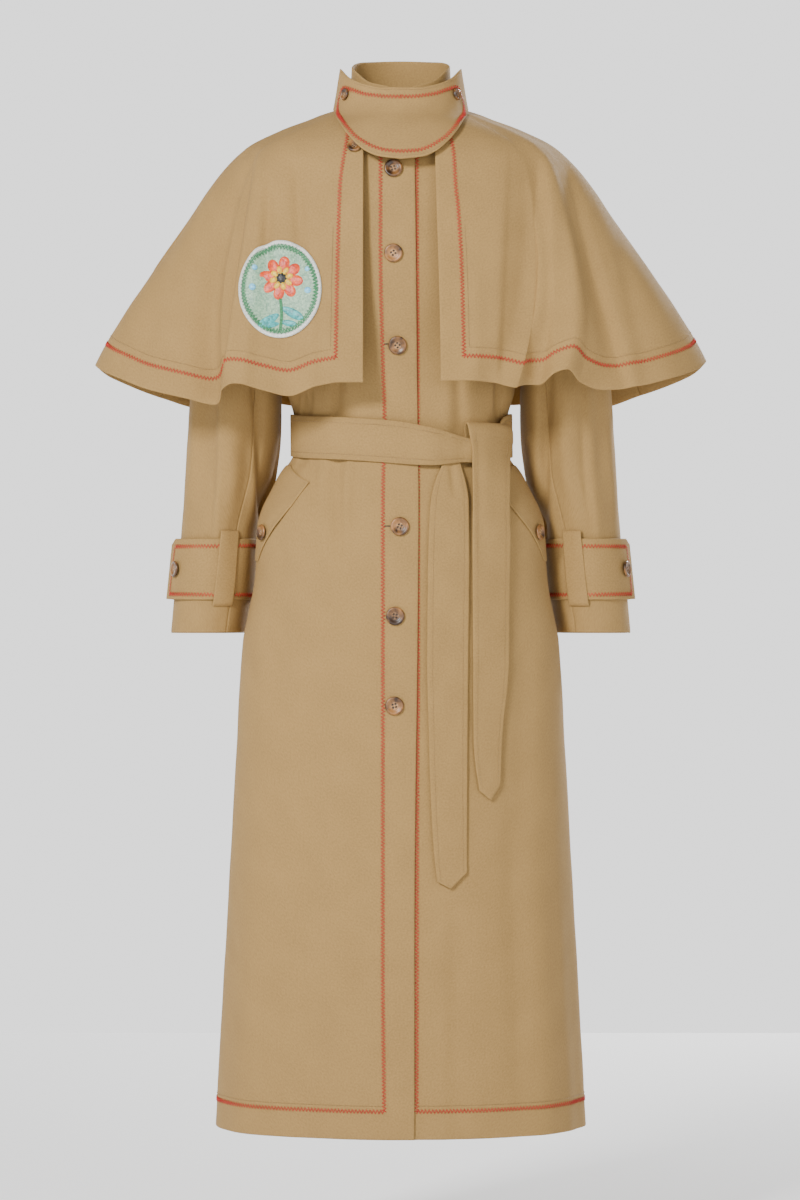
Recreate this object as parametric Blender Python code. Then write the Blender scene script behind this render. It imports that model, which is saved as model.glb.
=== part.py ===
"""A long belted coat with a shoulder cape, in cotton gabardine, filled out as if it were worn.

Sizes are in millimetres and angles in degrees until a mesh is made, which is in metres. The front
faces -Y, +X is the wearer's left and +Z is up. The origin is the middle of the neck's base. Round the
body an angle runs from 0 at the centre front through 90 at the wearer's left to 180 at the back.
"""

import math

import bpy
import numpy as np
from mathutils import Matrix, Vector

MM = 0.001


def table(columns, *rows):
    """Each named column as an array, with one row for each section or fold."""
    return dict(zip(columns.split(), np.array(rows, float).T))


# Cloth and seams
WALL = 1.6
COLLAR_WALL = 2.4
BELT_WALL = 2.4
TRIM_WALL = 1.4
SEAM_ANGLE = 0.12
LAP_GAP = 1.2
TRIM_GAP = 0.7

# The closure: the right front's edge lies past the centre, and the left front reaches back under it.
UNDERLAP = 22.0
UNDERLAP_RISE = 40.0
PLACKET_STEPS = (0.0, 13.0, 27.0, 42.0)
UNDER_STEPS = (0.0, 14.0, 28.0, 43.0, 64.0)
FRONT_COLUMNS = 10
BACK_COLUMNS = 18

# The armhole, an oval on the side of the body
ARM_MIDDLE = -135.0
ARM_HALF = 80.0
ARM_ANGLE = 29.0
ARM_STEP = 30.0
ARM_GAP = 0.8
SLEEVE_STEP = 15.0
SLEEVE_SEAM = 120.0
SLEEVE_BLEND = 2.5

SLEEVE_SEAM_GAP = 0.25
SLEEVE_MARGIN = 0.05

# The strap starts under itself in front, goes round behind and ends outside, where it sticks out.
CUFF_TOP = -527.0
CUFF_BOTTOM = -604.0
STRAP_ANGLES = (30, 20, 8, *range(-8, -320, -12), -326, -334, -342, -350)
STRAP = table("angle stand_off", (-350, 10.5), (-338, 7), (-322, 4.6), (-290, 2.6), (30, 2.2))
STRAP_TIP_DROP = 7.0
LOOP = table("z stand_off", (-612, 2.2), (-607, 5), (-565, 5), (-524, 5), (-517, 2.2))
LOOP_ANGLE = 108.0
LOOP_HALF_ANGLE = 14.0

FRONT_BUTTON = 22.5
CUFF_BUTTON = 20.0
CAPE_BUTTON = 18.0
TAB_BUTTON = 15.0
BUTTON_GAP = 0.5
BUTTON_SIDES = 10
BUTTON_DISH = 2.2
# Half a button's section, as shares of its radius: from its back round its rim to its dished face
BUTTON_SECTION = ((0.62, 0.0), (0.93, 0.9), (1.0, 2.0), (0.86, 3.6), (0.6, 2.6))


BODY = table(
    "z half_width front back tilt",
    (4, 64, 62, 64, 12),
    (-14, 96, 77, 78, 9),
    (-34, 140, 91, 90, 4),
    (-55, 180, 101, 98, 0),
    (-95, 176, 112, 105, 0),
    (-135, 166, 118, 107, 0),
    (-175, 157, 121, 105, 0),
    (-215, 151, 120, 102, 0),
    (-300, 143, 110, 94, 0),
    (-345, 141, 104, 90, 0),
    (-374, 133, 101, 88, 0),
    (-410, 129, 99, 87, 0),
    (-427, 134, 101, 90, 0),
    (-449, 149, 106, 99, 0),
    (-468, 159, 110, 107, 0),
    (-492, 171, 114, 114, 0),
    (-511, 176.5, 117, 118, 0),
    (-530, 178, 118, 120, 0),
    (-579, 181.5, 120, 123, 0),
    (-630, 191, 122, 126, 0),
    (-653, 195.5, 123, 127, 0),
    (-802, 204.5, 130, 133, 0),
    (-1025, 217, 141, 142, 0),
    (-1254, 229.5, 150, 150, 0),
)
UPPER_ROWS = (4, -14, -34)
LOWER_ROWS = (-258, -305, -345, -374, -408, -428, -441, -456, -474, -496, -524, -570, -645, -750, -890)
HEM_ROWS = (-1060, -1254)

# The right front's edge wanders a little, because the belt draws it in.
EDGE = table("z x", (4, 16), (-58, 17), (-380, 20.5), (-480, 21.7), (-1030, 16.5), (-1254, 16.5))

# Gathers at the belt are hollows. The skirt's flutes stand out most at the hem.
BODY_FOLDS = table(
    "angle z_from z_most z_to depth half_angle",
    (-34, -290, -425, -560, -4.0, 9),
    (-62, -300, -400, -500, -3.0, 8),
    (33, -300, -420, -540, -3.0, 9),
    (60, -270, -395, -500, -4.0, 9),
    (118, -280, -415, -560, -4.0, 11),
    (146, -290, -420, -640, -5.0, 11),
    (176, -280, -415, -600, -4.0, 11),
    (205, -290, -420, -660, -5.0, 11),
    (236, -280, -415, -560, -4.0, 11),
    (-55, -560, -1254, -1300, 4.0, 17),
    (-24, -640, -1254, -1300, -3.0, 13),
    (48, -600, -1254, -1300, 4.0, 16),
    (74, -640, -1254, -1300, -3.0, 12),
    (128, -560, -1254, -1300, 6.0, 17),
    (158, -560, -1254, -1300, -6.0, 15),
    (188, -560, -1254, -1300, 7.0, 17),
    (220, -600, -1254, -1300, -5.0, 16),
    (247, -600, -1254, -1300, 5.0, 13),
)

# The left sleeve hangs a little outwards and back. Its first ring is the armhole.
SLEEVE = table(
    "outer_x outer_z inner_x inner_z half_depth y",
    (180, -55, 151, -215, 50, 0),
    (196, -74, 157, -228, 58, 1),
    (208, -104, 158, -242, 65, 3),
    (223, -145, 157, -264, 70, 7),
    (237, -190, 153, -294, 72, 11),
    (250, -245, 150, -326, 73, 17),
    (259, -305, 148, -358, 72, 24),
    (264, -360, 149, -395, 70, 32),
    (268, -430, 155, -448, 68, 42),
    (275, -520, 178, -520, 64, 50),
    (282, -580, 184, -580, 60, 52),
    (288, -645, 193, -645, 58, 52),
)
SLEEVE_ROWS = (0, 0.6, 1.3, 2.2, 3.2, 4.4, 5.6, 6.8, 8, 9, 10, 11)
SLEEVE_FOLDS = table(
    "angle_top angle_cuff row_from row_most row_to depth half_angle",
    (52, 44, 4.0, 7.6, 9.6, -6.0, 24),
    (112, 118, 4.0, 7.8, 10.4, -7.0, 24),
    (78, 78, 4.0, 8.0, 11.0, 3.0, 20),
    (250, 262, 3.0, 7.0, 10.0, -6.0, 26),
    (310, 300, 4.0, 7.5, 10.5, -5.0, 24),
)

CAPE = table(
    "z half_width front back tilt",
    (7.5, 65.6, 63.6, 65.6, 12),
    (-2, 98, 78, 80, 11),
    (-9, 115, 85, 86, 9),
    (-21, 147, 95, 94, 6),
    (-40, 186, 107, 103, 2),
    (-58, 208, 116, 110, 0),
    (-95, 238, 127, 119, 0),
    (-133, 264, 133, 126, 0),
    (-170, 290, 137, 131, 0),
    (-207, 315, 140, 136, 0),
    (-244, 340, 143, 141, 0),
    (-281, 363, 146, 146, 0),
    (-312, 379, 149, 150, 0),
)
CAPE_ROWS = (7.5, -3, -13, -28, -50, -80, -120, -165, -215, -265, -312)
CAPE_EDGE_R = 45.5
CAPE_EDGE_L = 41.0
CAPE_EDGE_FLARE_L = 7.0
CAPE_SEAM = 127.0
# The gap at each side of a cape seam, as a share of the step from one flute's row to the next
CAPE_SEAM_GAP = 0.012
FLUTE_START = -40.0

# One row for each ridge or hollow of the cape, from the front edge to the seam behind the shoulder.
# The first row's angles stand for the edge itself.
CAPE_FLUTES_R = table(
    "angle_shoulder angle_hem relief hem_z",
    (0, 0, 0, -342),
    (21, 11, 0, -342),
    (28, 15.3, 1, -346),
    (35, 21, -3, -358),
    (43, 25.8, 3, -351),
    (54, 31, 11, -343),
    (62, 35, 0, -350),
    (67, 38.2, -14, -366),
    (73, 44, -5, -359),
    (79, 53, 0, -349),
    (84, 68, 2, -329),
    (92, 90, 0, -313),
    (109, 109, 2, -327),
    (127, 127, 0, -349),
)
CAPE_FLUTES_L = table(
    "angle_shoulder angle_hem relief hem_z",
    (0, 0, 0, -340),
    (31, 12.5, 1, -340),
    (46, 17.4, -6, -342),
    (49, 21.6, 4, -347),
    (52.5, 26.4, -10, -343),
    (60, 30.8, 12, -326),
    (67, 35, 1, -341),
    (75, 41, -6, -349),
    (80, 49, 0, -344),
    (84, 60, 3, -333),
    (88, 74, 1, -320),
    (93, 90, 0, -308),
    (109, 109, 2, -325),
    (127, 127, 0, -346),
)
CAPE_FLUTES_BACK = table(
    "angle_shoulder angle_hem relief hem_z",
    (127, 127, 0, -346),
    (135, 137, -9, -361),
    (144, 147, 8, -344),
    (154, 157, -8, -356),
    (165, 168, 9, -342),
    (178, 179, -7, -354),
    (192, 190, 9, -343),
    (204, 201, -8, -357),
    (215, 212, 8, -345),
    (225, 223, -9, -362),
    (233, 233, 0, -349),
)

COLLAR = table(
    "angle rim_z",
    (14, 26),
    (40, 34),
    (65, 49),
    (90, 58),
    (130, 68),
    (180, 72),
    (230, 68),
    (270, 57),
    (295, 47),
    (320, 33),
    (346, 26),
)
COLLAR_COLUMNS = 26
COLLAR_ROWS = 4
COLLAR_TOP_HALF_WIDTH = 61.0
COLLAR_TOP_FRONT = 58.0
COLLAR_TOP_BACK = 63.0

# The throat tab stands off the collar and rests on the cape. `share` runs from its middle to its end.
TAB = table(
    "z half_width front",
    (60, 77.5, 73),
    (30, 80, 77),
    (12, 82.5, 81),
    (0, 87, 85),
    (-10, 97, 91),
    (-17, 115, 97),
    (-26, 145, 104),
    (-42, 186, 114),
    (-58, 208, 123),
    (-75, 220, 128),
)
TAB_TOP = table(
    "share x z",
    (0, 0, 22.5),
    (0.3, 21, 22.5),
    (0.6, 45, 28),
    (0.82, 62.5, 37),
    (1, 76, 52.5),
)
TAB_BOTTOM = table(
    "share x z",
    (0, 0, -70.5),
    (0.3, 27, -67),
    (0.48, 42.5, -60),
    (0.64, 55.5, -48.5),
    (0.8, 68.5, -32),
    (0.94, 81, -7),
    (1, 84, 2),
)
TAB_COLUMNS = 20
TAB_ROWS = 7

BELT = table(
    "angle z half_height stand_off",
    (41, -412, 15.5, 4.0),
    (74, -410, 16.5, 3.4),
    (84, -401, 26, 1.8),
    (95, -400, 27, 0.9),
    (180, -398, 27, 0.9),
    (270, -400, 26, 0.9),
    (300, -404, 26, 0.9),
    (330, -407.5, 26, 0.9),
    (356, -412, 26, 0.9),
    (376, -417.5, 23, 5.0),
    (394, -421, 15.5, 5.6),
)
BELT_STEP = 6.0

# The two ends of the tie: height, the two edges and how far the cloth's middle stands off the coat.
# End A goes up behind the band, over its top and down in front of it.
END_A = table(
    "z left right stand_off",
    (-412, 77, 121, 3.2),
    (-398, 76, 122, 3.4),
    (-390.5, 75, 123, 5.5),
    (-387.5, 75, 123, 9.6),
    (-390.5, 75, 123, 13.8),
    (-399, 75.5, 123, 16.0),
    (-421, 79, 123.5, 16.0),
    (-455, 82.5, 126, 12.0),
    (-489, 84.5, 128, 8.4),
    (-554, 85.5, 131, 4.2),
    (-676, 86.5, 130, 3.4),
    (-773, 87, 121.5, 3.4),
    (-842, 93.5, 119.5, 3.4),
)
END_B = table(
    "z left right stand_off",
    (-426, 52, 70, 3.0),
    (-441, 49, 72, 3.2),
    (-458, 42, 77, 3.2),
    (-489, 35.5, 81.5, 3.0),
    (-560, 32.5, 82, 3.0),
    (-676, 31.5, 81, 3.0),
    (-773, 33.5, 80, 3.0),
    (-859, 36.5, 79.5, 3.0),
    (-915, 40, 79.5, 3.0),
    (-944, 43.5, 79.5, 3.0),
)
# Each end is cut to a point: share across the width, and how far below or above the last row it ends.
POINT_A = table("share drop", (0, 7), (0.55, -5), (1, 14))
POINT_B = table("share drop", (0, 0), (0.45, -9), (1, 11))
POINT_LENGTH = 40.0
POINT_ROWS = 3
END_COLUMNS = 4
END_START = (35.0, -600.0)

POCKET = table(
    "z front_angle",
    (-438, 73),
    (-460, 46),
    (-489, 51.5),
    (-505, 56.5),
    (-543, 73),
    (-556, 78),
)
POCKET_BACK_ANGLE = 86.0
POCKET_GAP = 1.0
POCKET_COLUMNS = 5
POCKET_ROWS = 10

# Heights and distances from the centre of what is buttoned on
FRONT_BUTTONS = table(
    "x z", (-9, -80.5), (-9, -184), (-4, -295), (-1.2, -515), (-6.8, -623.5), (-7.7, -732)
)
TAB_BUTTON_PLACE = (67.5, 17.0)
CAPE_BUTTON_PLACE = (56.0, -53.5)
POCKET_BUTTON_PLACE = (71.0, -521.0)
CUFF_BUTTON_PLACE = (30.0, -566.0)
CUFF_BUTTON_LIFT = 0.7

PATCH_MIDDLE = (-146.0, -228.0)
PATCH_HALF_WIDTH = 50.0
PATCH_HALF_HEIGHT = 59.0
PATCH_RINGS = 3
PATCH_SIDES = 24

TAN = (0.47, 0.335, 0.195)
HORN = (0.20, 0.11, 0.055)
BADGE = (0.62, 0.27, 0.12)
CLOTH_ROUGHNESS = 0.85
HORN_ROUGHNESS = 0.25
SHARP_EDGE = 60.0

# Normals are taken this far inside the rim of a surface.
RIM_MARGIN = 0.02
# How locate() steps, and the most that one step may change each coordinate
LOCATE_STEP = 0.01
LOCATE_TURNS = 20
LOCATE_MOST = (8.0, 30.0)
# Where it starts from on the tab, the cape and the patch
TAB_BUTTON_START = (0.85, 0.5)
CAPE_BUTTON_START = 0.5
PATCH_START = (3.5, -215.0)


def smooth(at, xs, ys):
    """Values at `at` on a smooth curve through the points, which never overshoots them."""
    order = np.argsort(xs)
    xs, ys = xs[order], ys[order]
    step = np.diff(xs)
    slope = np.diff(ys) / step
    product = slope[1:] * slope[:-1]
    total = np.where(product > 0, slope[1:] + slope[:-1], 1)
    middle = np.where(product > 0, 2 * product / total, 0)
    tangent = np.concatenate([slope[:1], middle, slope[-1:]])
    at = np.clip(at, xs[0], xs[-1])
    i = np.clip(np.searchsorted(xs, at, side="right") - 1, 0, len(step) - 1)
    t = (at - xs[i]) / step[i]
    rise = tangent[i] * (1 - t) - tangent[i + 1] * t
    share = t**2 * (3 - 2 * t)
    return ys[i] * (1 - share) + ys[i + 1] * share + step[i] * t * (1 - t) * rise


def column(rows, name, z):
    return smooth(z, rows["z"], rows[name])


def ease(t):
    t = np.clip(t, 0, 1)
    return t * t * (3 - 2 * t)


def apart(angle, middle):
    """How far an angle is from another, from -180 to 180."""
    return (angle - middle + 180) % 360 - 180


def fold(across, along, start, most, end):
    """A soft trough's share of its depth: across it, from -1 to 1, and along it."""
    shape = np.cos(np.clip(across, -1, 1) * math.pi / 2) ** 2
    before = ease((along - start) / (most - start))
    after = ease((along - end) / (most - end))
    return shape * np.minimum(before, after)


def ring(rows, angle, z, relief):
    """A point of a body or cape ring, which tilts down to the front at the neck."""
    turn = np.radians(angle)
    depth = np.where(np.cos(turn) > 0, column(rows, "front", z), column(rows, "back", z))
    x = (column(rows, "half_width", z) + relief) * np.sin(turn)
    y = -(depth + relief) * np.cos(turn)
    return x, y, z - column(rows, "tilt", z) * np.cos(turn)


def body_folds(angle, z):
    relief = np.zeros(np.broadcast(angle, z).shape)
    for middle, z_from, z_most, z_to, depth, half_angle in zip(*BODY_FOLDS.values()):
        relief += depth * fold(apart(angle, middle) / half_angle, z, z_from, z_most, z_to)
    return relief


def body(angle, z):
    """A point of the coat's outer face."""
    return np.stack(ring(BODY, angle, z, body_folds(angle, z)), -1)


def plain_body(angle, z):
    """The coat's outer face without its folds, which the belt spans."""
    return np.stack(ring(BODY, angle, z, 0), -1)


def side_angle(z):
    """Where a front panel ends: at the shoulder seam, the armhole or the side seam."""
    across = np.clip((z - ARM_MIDDLE) / ARM_HALF, -1, 1)
    return 90 - ARM_ANGLE * np.sqrt(1 - across**2)


def armhole(angle):
    """A point of the armhole's edge: 0 at the shoulder, 90 in front and 180 at the underarm."""
    corners = np.floor(angle / ARM_STEP)
    share = (angle / ARM_STEP - corners)[..., None]
    ends = []
    for corner in (corners, corners + 1):
        turn = np.radians(corner * ARM_STEP)
        ends.append(body(90 - ARM_ANGLE * np.sin(turn), ARM_MIDDLE + ARM_HALF * np.cos(turn)))
    edge = ends[0] * (1 - share) + ends[1] * share
    inwards = body(np.array(90.0), np.array(ARM_MIDDLE)) - edge
    return edge + ARM_GAP * inwards / np.linalg.norm(inwards, axis=-1, keepdims=True)


def sleeve_axis(row):
    """The middle of the sleeve, half its width as a vector, and its half depth."""
    at = {name: smooth(row, np.arange(len(values)), values) for name, values in SLEEVE.items()}
    outer = np.stack([at["outer_x"], at["y"], at["outer_z"]], -1)
    inner = np.stack([at["inner_x"], at["y"], at["inner_z"]], -1)
    return (outer + inner) / 2, (outer - inner) / 2, at["half_depth"]


def sleeve(angle, row):
    """A point of the left sleeve's outer face: 0 outside, 90 in front, 180 against the body."""
    angle, row = np.broadcast_arrays(np.asarray(angle, float), np.asarray(row, float))
    relief = np.zeros(angle.shape)
    for top, cuff, start, most, end, depth, half_angle in zip(*SLEEVE_FOLDS.values()):
        middle = top + (cuff - top) * row / SLEEVE_ROWS[-1]
        relief += depth * fold(apart(angle, middle) / half_angle, row, start, most, end)
    middle, half_width, half_depth = sleeve_axis(row)
    turn = np.radians(angle)[..., None]
    size = 1 + (relief / half_depth)[..., None]
    forwards = np.array([0.0, -1.0, 0.0]) * half_depth[..., None]
    tube = middle + size * (half_width * np.cos(turn) + forwards * np.sin(turn))
    share = ease(row / SLEEVE_BLEND)[..., None]
    return armhole(angle % 360) * (1 - share) + tube * share


def sleeve_row(z):
    """The sleeve's row at a height near the cuff, where its rings are level."""
    return np.interp(-np.asarray(z, float), -SLEEVE["outer_z"], np.arange(len(SLEEVE["outer_z"])))


def flutes(rows, name, place):
    return smooth(place, np.arange(len(rows[name])), rows[name])


def cape(rows, edge_x, edge_flare, seam):
    """The surface of one cape piece, by its place along the table of flutes and by its level."""
    first = rows["angle_shoulder"][0]

    def edge_angle(z):
        if first:
            return np.full(np.shape(z), first)
        x = edge_x + edge_flare * ease(z / CAPE["z"][-1])
        return np.degrees(np.arcsin(x / column(CAPE, "half_width", z)))

    def surface(place, z):
        place, z = np.broadcast_arrays(np.asarray(place, float), np.asarray(z, float))
        down = np.clip((FLUTE_START - z) / (FLUTE_START - CAPE["z"][-1]), 0, 1)
        shares = []
        for name, level in (("angle_shoulder", FLUTE_START), ("angle_hem", CAPE["z"][-1])):
            edge = edge_angle(np.array(float(level)))
            angles = rows[name].copy()
            angles[0] = edge
            shares.append((smooth(place, np.arange(len(angles)), angles) - edge) / (seam - edge))
        share = shares[0] + (shares[1] - shares[0]) * down
        angle = edge_angle(z) + (seam - edge_angle(z)) * share
        relief = flutes(rows, "relief", place) * down**1.2
        x, y, height = ring(CAPE, angle, z, relief)
        stretch = (CAPE["z"][0] - flutes(rows, "hem_z", place)) / (CAPE["z"][0] - CAPE["z"][-1])
        return np.stack([x, y, CAPE["z"][0] + (height - CAPE["z"][0]) * stretch], -1)

    return surface


CAPE_R = cape(CAPE_FLUTES_R, CAPE_EDGE_R, 0.0, CAPE_SEAM)
CAPE_L = cape(CAPE_FLUTES_L, CAPE_EDGE_L, CAPE_EDGE_FLARE_L, CAPE_SEAM)
CAPE_BACK = cape(CAPE_FLUTES_BACK, 0.0, 0.0, 360 - CAPE_SEAM)


def collar(angle, share):
    """The stand collar, from the neck seam to its rim. It leans in a little."""
    turn = np.radians(angle)
    forward = np.cos(turn) > 0
    foot = np.stack(ring(BODY, angle, np.full(np.shape(angle), BODY["z"][0]), 0), -1)
    foot[..., 2] += TRIM_GAP
    depth = np.where(forward, COLLAR_TOP_FRONT, COLLAR_TOP_BACK)
    rim_z = smooth(angle, COLLAR["angle"], COLLAR["rim_z"])
    rim = np.stack([COLLAR_TOP_HALF_WIDTH * np.sin(turn), -depth * np.cos(turn), rim_z], -1)
    return foot + (rim - foot) * share[..., None]


def tab(across, down):
    """The throat tab. `across` runs from -1 to 1, and `down` from its top edge to its lower edge."""
    side = np.abs(across)
    ends = []
    for outline in (TAB_TOP, TAB_BOTTOM):
        ends.append([smooth(side, outline["share"], outline[name]) for name in ("x", "z")])
    x = ends[0][0] + (ends[1][0] - ends[0][0]) * down
    z = ends[0][1] + (ends[1][1] - ends[0][1]) * down
    front, half_width = column(TAB, "front", z), column(TAB, "half_width", z)
    round_to_side = np.sqrt(np.maximum(1 - (x / half_width) ** 2, 0.01))
    return np.stack([np.sign(across) * x, -front * round_to_side, z], -1)


def normals(surface, u, v, step=0.02):
    """Unit normals of a surface that takes two coordinates."""
    along_u = surface(u + step, v) - surface(u - step, v)
    along_v = surface(u, v + step) - surface(u, v - step)
    found = np.cross(along_u, along_v)
    return found / np.linalg.norm(found, axis=-1, keepdims=True)


def locate(surface, x, z, start):
    """The surface's own coordinates where it passes through x and z, by Newton's method."""
    u, v = np.full(np.shape(x), float(start[0])), np.full(np.shape(x), float(start[1]))
    most_u, most_v = LOCATE_MOST
    for _ in range(LOCATE_TURNS):
        here = surface(u, v)
        along_u = (surface(u + LOCATE_STEP, v) - here) / LOCATE_STEP
        along_v = (surface(u, v + LOCATE_STEP) - here) / LOCATE_STEP
        miss_x, miss_z = x - here[..., 0], z - here[..., 2]
        size = along_u[..., 0] * along_v[..., 2] - along_u[..., 2] * along_v[..., 0]
        change_u = (miss_x * along_v[..., 2] - miss_z * along_v[..., 0]) / size
        change_v = (miss_z * along_u[..., 0] - miss_x * along_u[..., 2]) / size
        u = u + np.clip(change_u, -most_u, most_u)
        v = v + np.clip(change_v, -most_v, most_v)
    return u, v


def material(name, colour, roughness):
    made = bpy.data.materials.new(name)
    made.use_nodes = True
    shader = made.node_tree.nodes["Principled BSDF"]
    shader.inputs["Base Color"].default_value = (*colour, 1.0)
    shader.inputs["Roughness"].default_value = roughness
    shader.inputs["Metallic"].default_value = 0.0
    return made


def add(name, mesh, parent, colour, roughness, matrix):
    """Adds an object, with its own material, facing outwards and shaded smooth."""
    mesh.shade_smooth()
    mesh.materials.append(material(name, colour, roughness))
    made = bpy.data.objects.new(name, mesh)
    made.matrix_world = matrix
    made.parent = parent
    bpy.context.scene.collection.objects.link(made)
    return made


def signed_volume(points, faces):
    corners = points[faces]
    return np.einsum("ij,ij->", corners[:, 0], np.cross(corners[:, 1], corners[:, 2]))


def shell(name, parent, points, outwards, wall=WALL, stand_off=0.0, colour=TAN):
    """A closed wall of cloth from a grid of points. Its outer face stands `stand_off` out from them."""
    rows, columns = points.shape[:2]
    outer = points + outwards * np.asarray(stand_off)[..., None]
    inner = outer - outwards * wall
    corners = np.concatenate([outer.reshape(-1, 3), inner.reshape(-1, 3)])
    index = np.arange(rows * columns).reshape(rows, columns)
    faces = []
    for i in range(rows - 1):
        for j in range(columns - 1):
            a, b, c, d = index[i, j], index[i, j + 1], index[i + 1, j + 1], index[i + 1, j]
            straight = np.linalg.norm(corners[a] - corners[c]) < np.linalg.norm(corners[b] - corners[d])
            for face in ((a, b, c), (a, c, d)) if straight else ((a, b, d), (b, c, d)):
                faces.append(face)
                faces.append(tuple(k + rows * columns for k in reversed(face)))
    rim = np.concatenate([index[0], index[1:, -1], index[-1, -2::-1], index[-2:0:-1, 0]])
    for a, b in zip(rim, np.roll(rim, -1)):
        c, d = b + rows * columns, a + rows * columns
        faces += [(b, a, d), (b, d, c)]
    faces = np.array(faces)
    if signed_volume(corners, faces) < 0:
        faces = faces[:, ::-1]
    middle = outer.reshape(-1, 3).mean(axis=0)
    mesh = bpy.data.meshes.new(name)
    mesh.from_pydata(((corners - middle) * MM).tolist(), [], faces.tolist())
    mesh.set_sharp_from_angle(angle=math.radians(SHARP_EDGE))
    return add(name, mesh, parent, colour, CLOTH_ROUGHNESS, Matrix.Translation(Vector(middle * MM)))


def outward(points, found, middle):
    """Turns normals, all of them or none, to point away from the middle."""
    return found * np.sign(np.sum((points - middle) * found))


def mirrored(values):
    return values * np.array([-1.0, 1.0, 1.0])


def body_rows():
    steps = np.arange(0, 180 + ARM_STEP, ARM_STEP)
    arm = ARM_MIDDLE + ARM_HALF * np.cos(np.radians(steps))
    return np.concatenate([UPPER_ROWS, arm, LOWER_ROWS, HEM_ROWS])


def panel_angles(z, first_x, last_angle, columns):
    """Angles across a front: at each distance from the centre in first_x, then in even steps."""
    near = np.degrees(np.arcsin(first_x / column(BODY, "half_width", z)[:, None]))
    steps = np.linspace(0, 1, columns + 1)[1:]
    return np.hstack([near, near[:, -1:] + (last_angle[:, None] - near[:, -1:]) * steps])


def build_fronts(parent):
    z = body_rows()
    middle = np.array([0.0, 0.0, ARM_MIDDLE])
    last = side_angle(z) - SEAM_ANGLE
    edge = smooth(z, EDGE["z"], EDGE["x"])[:, None]

    angle = panel_angles(z, edge - np.array(PLACKET_STEPS), -last, FRONT_COLUMNS)
    level = np.broadcast_to(z[:, None], angle.shape)
    points = body(angle, level)
    shell("front_right", parent, points, outward(points, normals(body, angle, level), middle))

    angle = panel_angles(z, np.array(UNDER_STEPS) - UNDERLAP + 0 * edge, last, FRONT_COLUMNS)
    level = np.broadcast_to(z[:, None], angle.shape)
    points = body(angle, level)
    under = 1 - ease((points[..., 0] - UNDERLAP) / UNDERLAP_RISE)
    facing = outward(points, normals(body, angle, level), middle)
    shell("front_left", parent, points, facing, stand_off=-(WALL + LAP_GAP) * under)


def build_back(parent):
    z = body_rows()
    first = 180 - side_angle(z) + SEAM_ANGLE
    angle = first[:, None] + (360 - 2 * first)[:, None] * np.linspace(0, 1, BACK_COLUMNS + 1)
    level = np.broadcast_to(z[:, None], angle.shape)
    points = body(angle, level)
    middle = np.array([0.0, 0.0, ARM_MIDDLE])
    shell("back", parent, points, outward(points, normals(body, angle, level), middle))


def add_sided(name, parent, points, facing, side, **how):
    """A shell on the wearer's left, or mirrored to the right."""
    if side == "R":
        points, facing = mirrored(points), mirrored(facing)
    return shell(f"{name}_{side}", parent, points, facing, **how)


def build_sleeves(parent):
    halves = (
        ("sleeve_top", -SLEEVE_SEAM, SLEEVE_SEAM),
        ("sleeve_under", SLEEVE_SEAM, 360 - SLEEVE_SEAM),
    )
    rows = np.array(SLEEVE_ROWS, float)
    gap = math.degrees(SLEEVE_SEAM_GAP / SLEEVE["half_depth"].mean())
    for name, first, last in halves:
        angles = np.arange(first, last + 1, SLEEVE_STEP)
        angle, row = np.meshgrid(angles, rows)
        facing = normals(sleeve, angle, np.clip(row, SLEEVE_MARGIN, rows[-1] - SLEEVE_MARGIN))
        angle[:, 0] += gap
        angle[:, -1] -= gap
        points = sleeve(angle, row)
        facing = outward(points, facing, sleeve_axis(row)[0])
        for side in "LR":
            add_sided(name, parent, points, facing, side)


def build_cuffs(parent):
    heights = np.linspace(CUFF_TOP, CUFF_BOTTOM, 3)
    angle, z = np.meshgrid(np.array(STRAP_ANGLES, float), heights)
    z = z - STRAP_TIP_DROP * ((angle == STRAP_ANGLES[-1]) & (z == CUFF_TOP))
    row = sleeve_row(z)
    points = sleeve(angle, row)
    facing = outward(points, normals(sleeve, angle, row), sleeve_axis(row)[0])
    strap_off = np.interp(angle, STRAP["angle"], STRAP["stand_off"])

    loop_angles = LOOP_ANGLE + LOOP_HALF_ANGLE * np.linspace(-1, 1, 4)
    loop_angle, loop_z = np.meshgrid(loop_angles, LOOP["z"])
    loop_row = sleeve_row(loop_z)
    loop_points = sleeve(loop_angle, loop_row)
    loop_facing = normals(sleeve, loop_angle, loop_row)
    loop_facing = outward(loop_points, loop_facing, sleeve_axis(loop_row)[0])
    loop_off = np.interp(loop_z, LOOP["z"], LOOP["stand_off"])

    angle_at, z_at = CUFF_BUTTON_PLACE
    row_at = sleeve_row(z_at)
    away = normals(sleeve, np.array(angle_at), row_at)
    away = away * np.sign(away[0])
    lift = CUFF_BUTTON_LIFT + np.interp(angle_at - 360, STRAP["angle"], STRAP["stand_off"])
    spot = sleeve(np.array(angle_at), row_at) + away * lift
    for side in "LR":
        add_sided("cuff_strap", parent, points, facing, side, wall=TRIM_WALL, stand_off=strap_off)
        add_sided("cuff_loop", parent, loop_points, loop_facing, side, wall=TRIM_WALL, stand_off=loop_off)
        if side == "R":
            spot, away = mirrored(spot), mirrored(away)
        button(f"cuff_button_{side}", parent, spot, away, CUFF_BUTTON)


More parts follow.
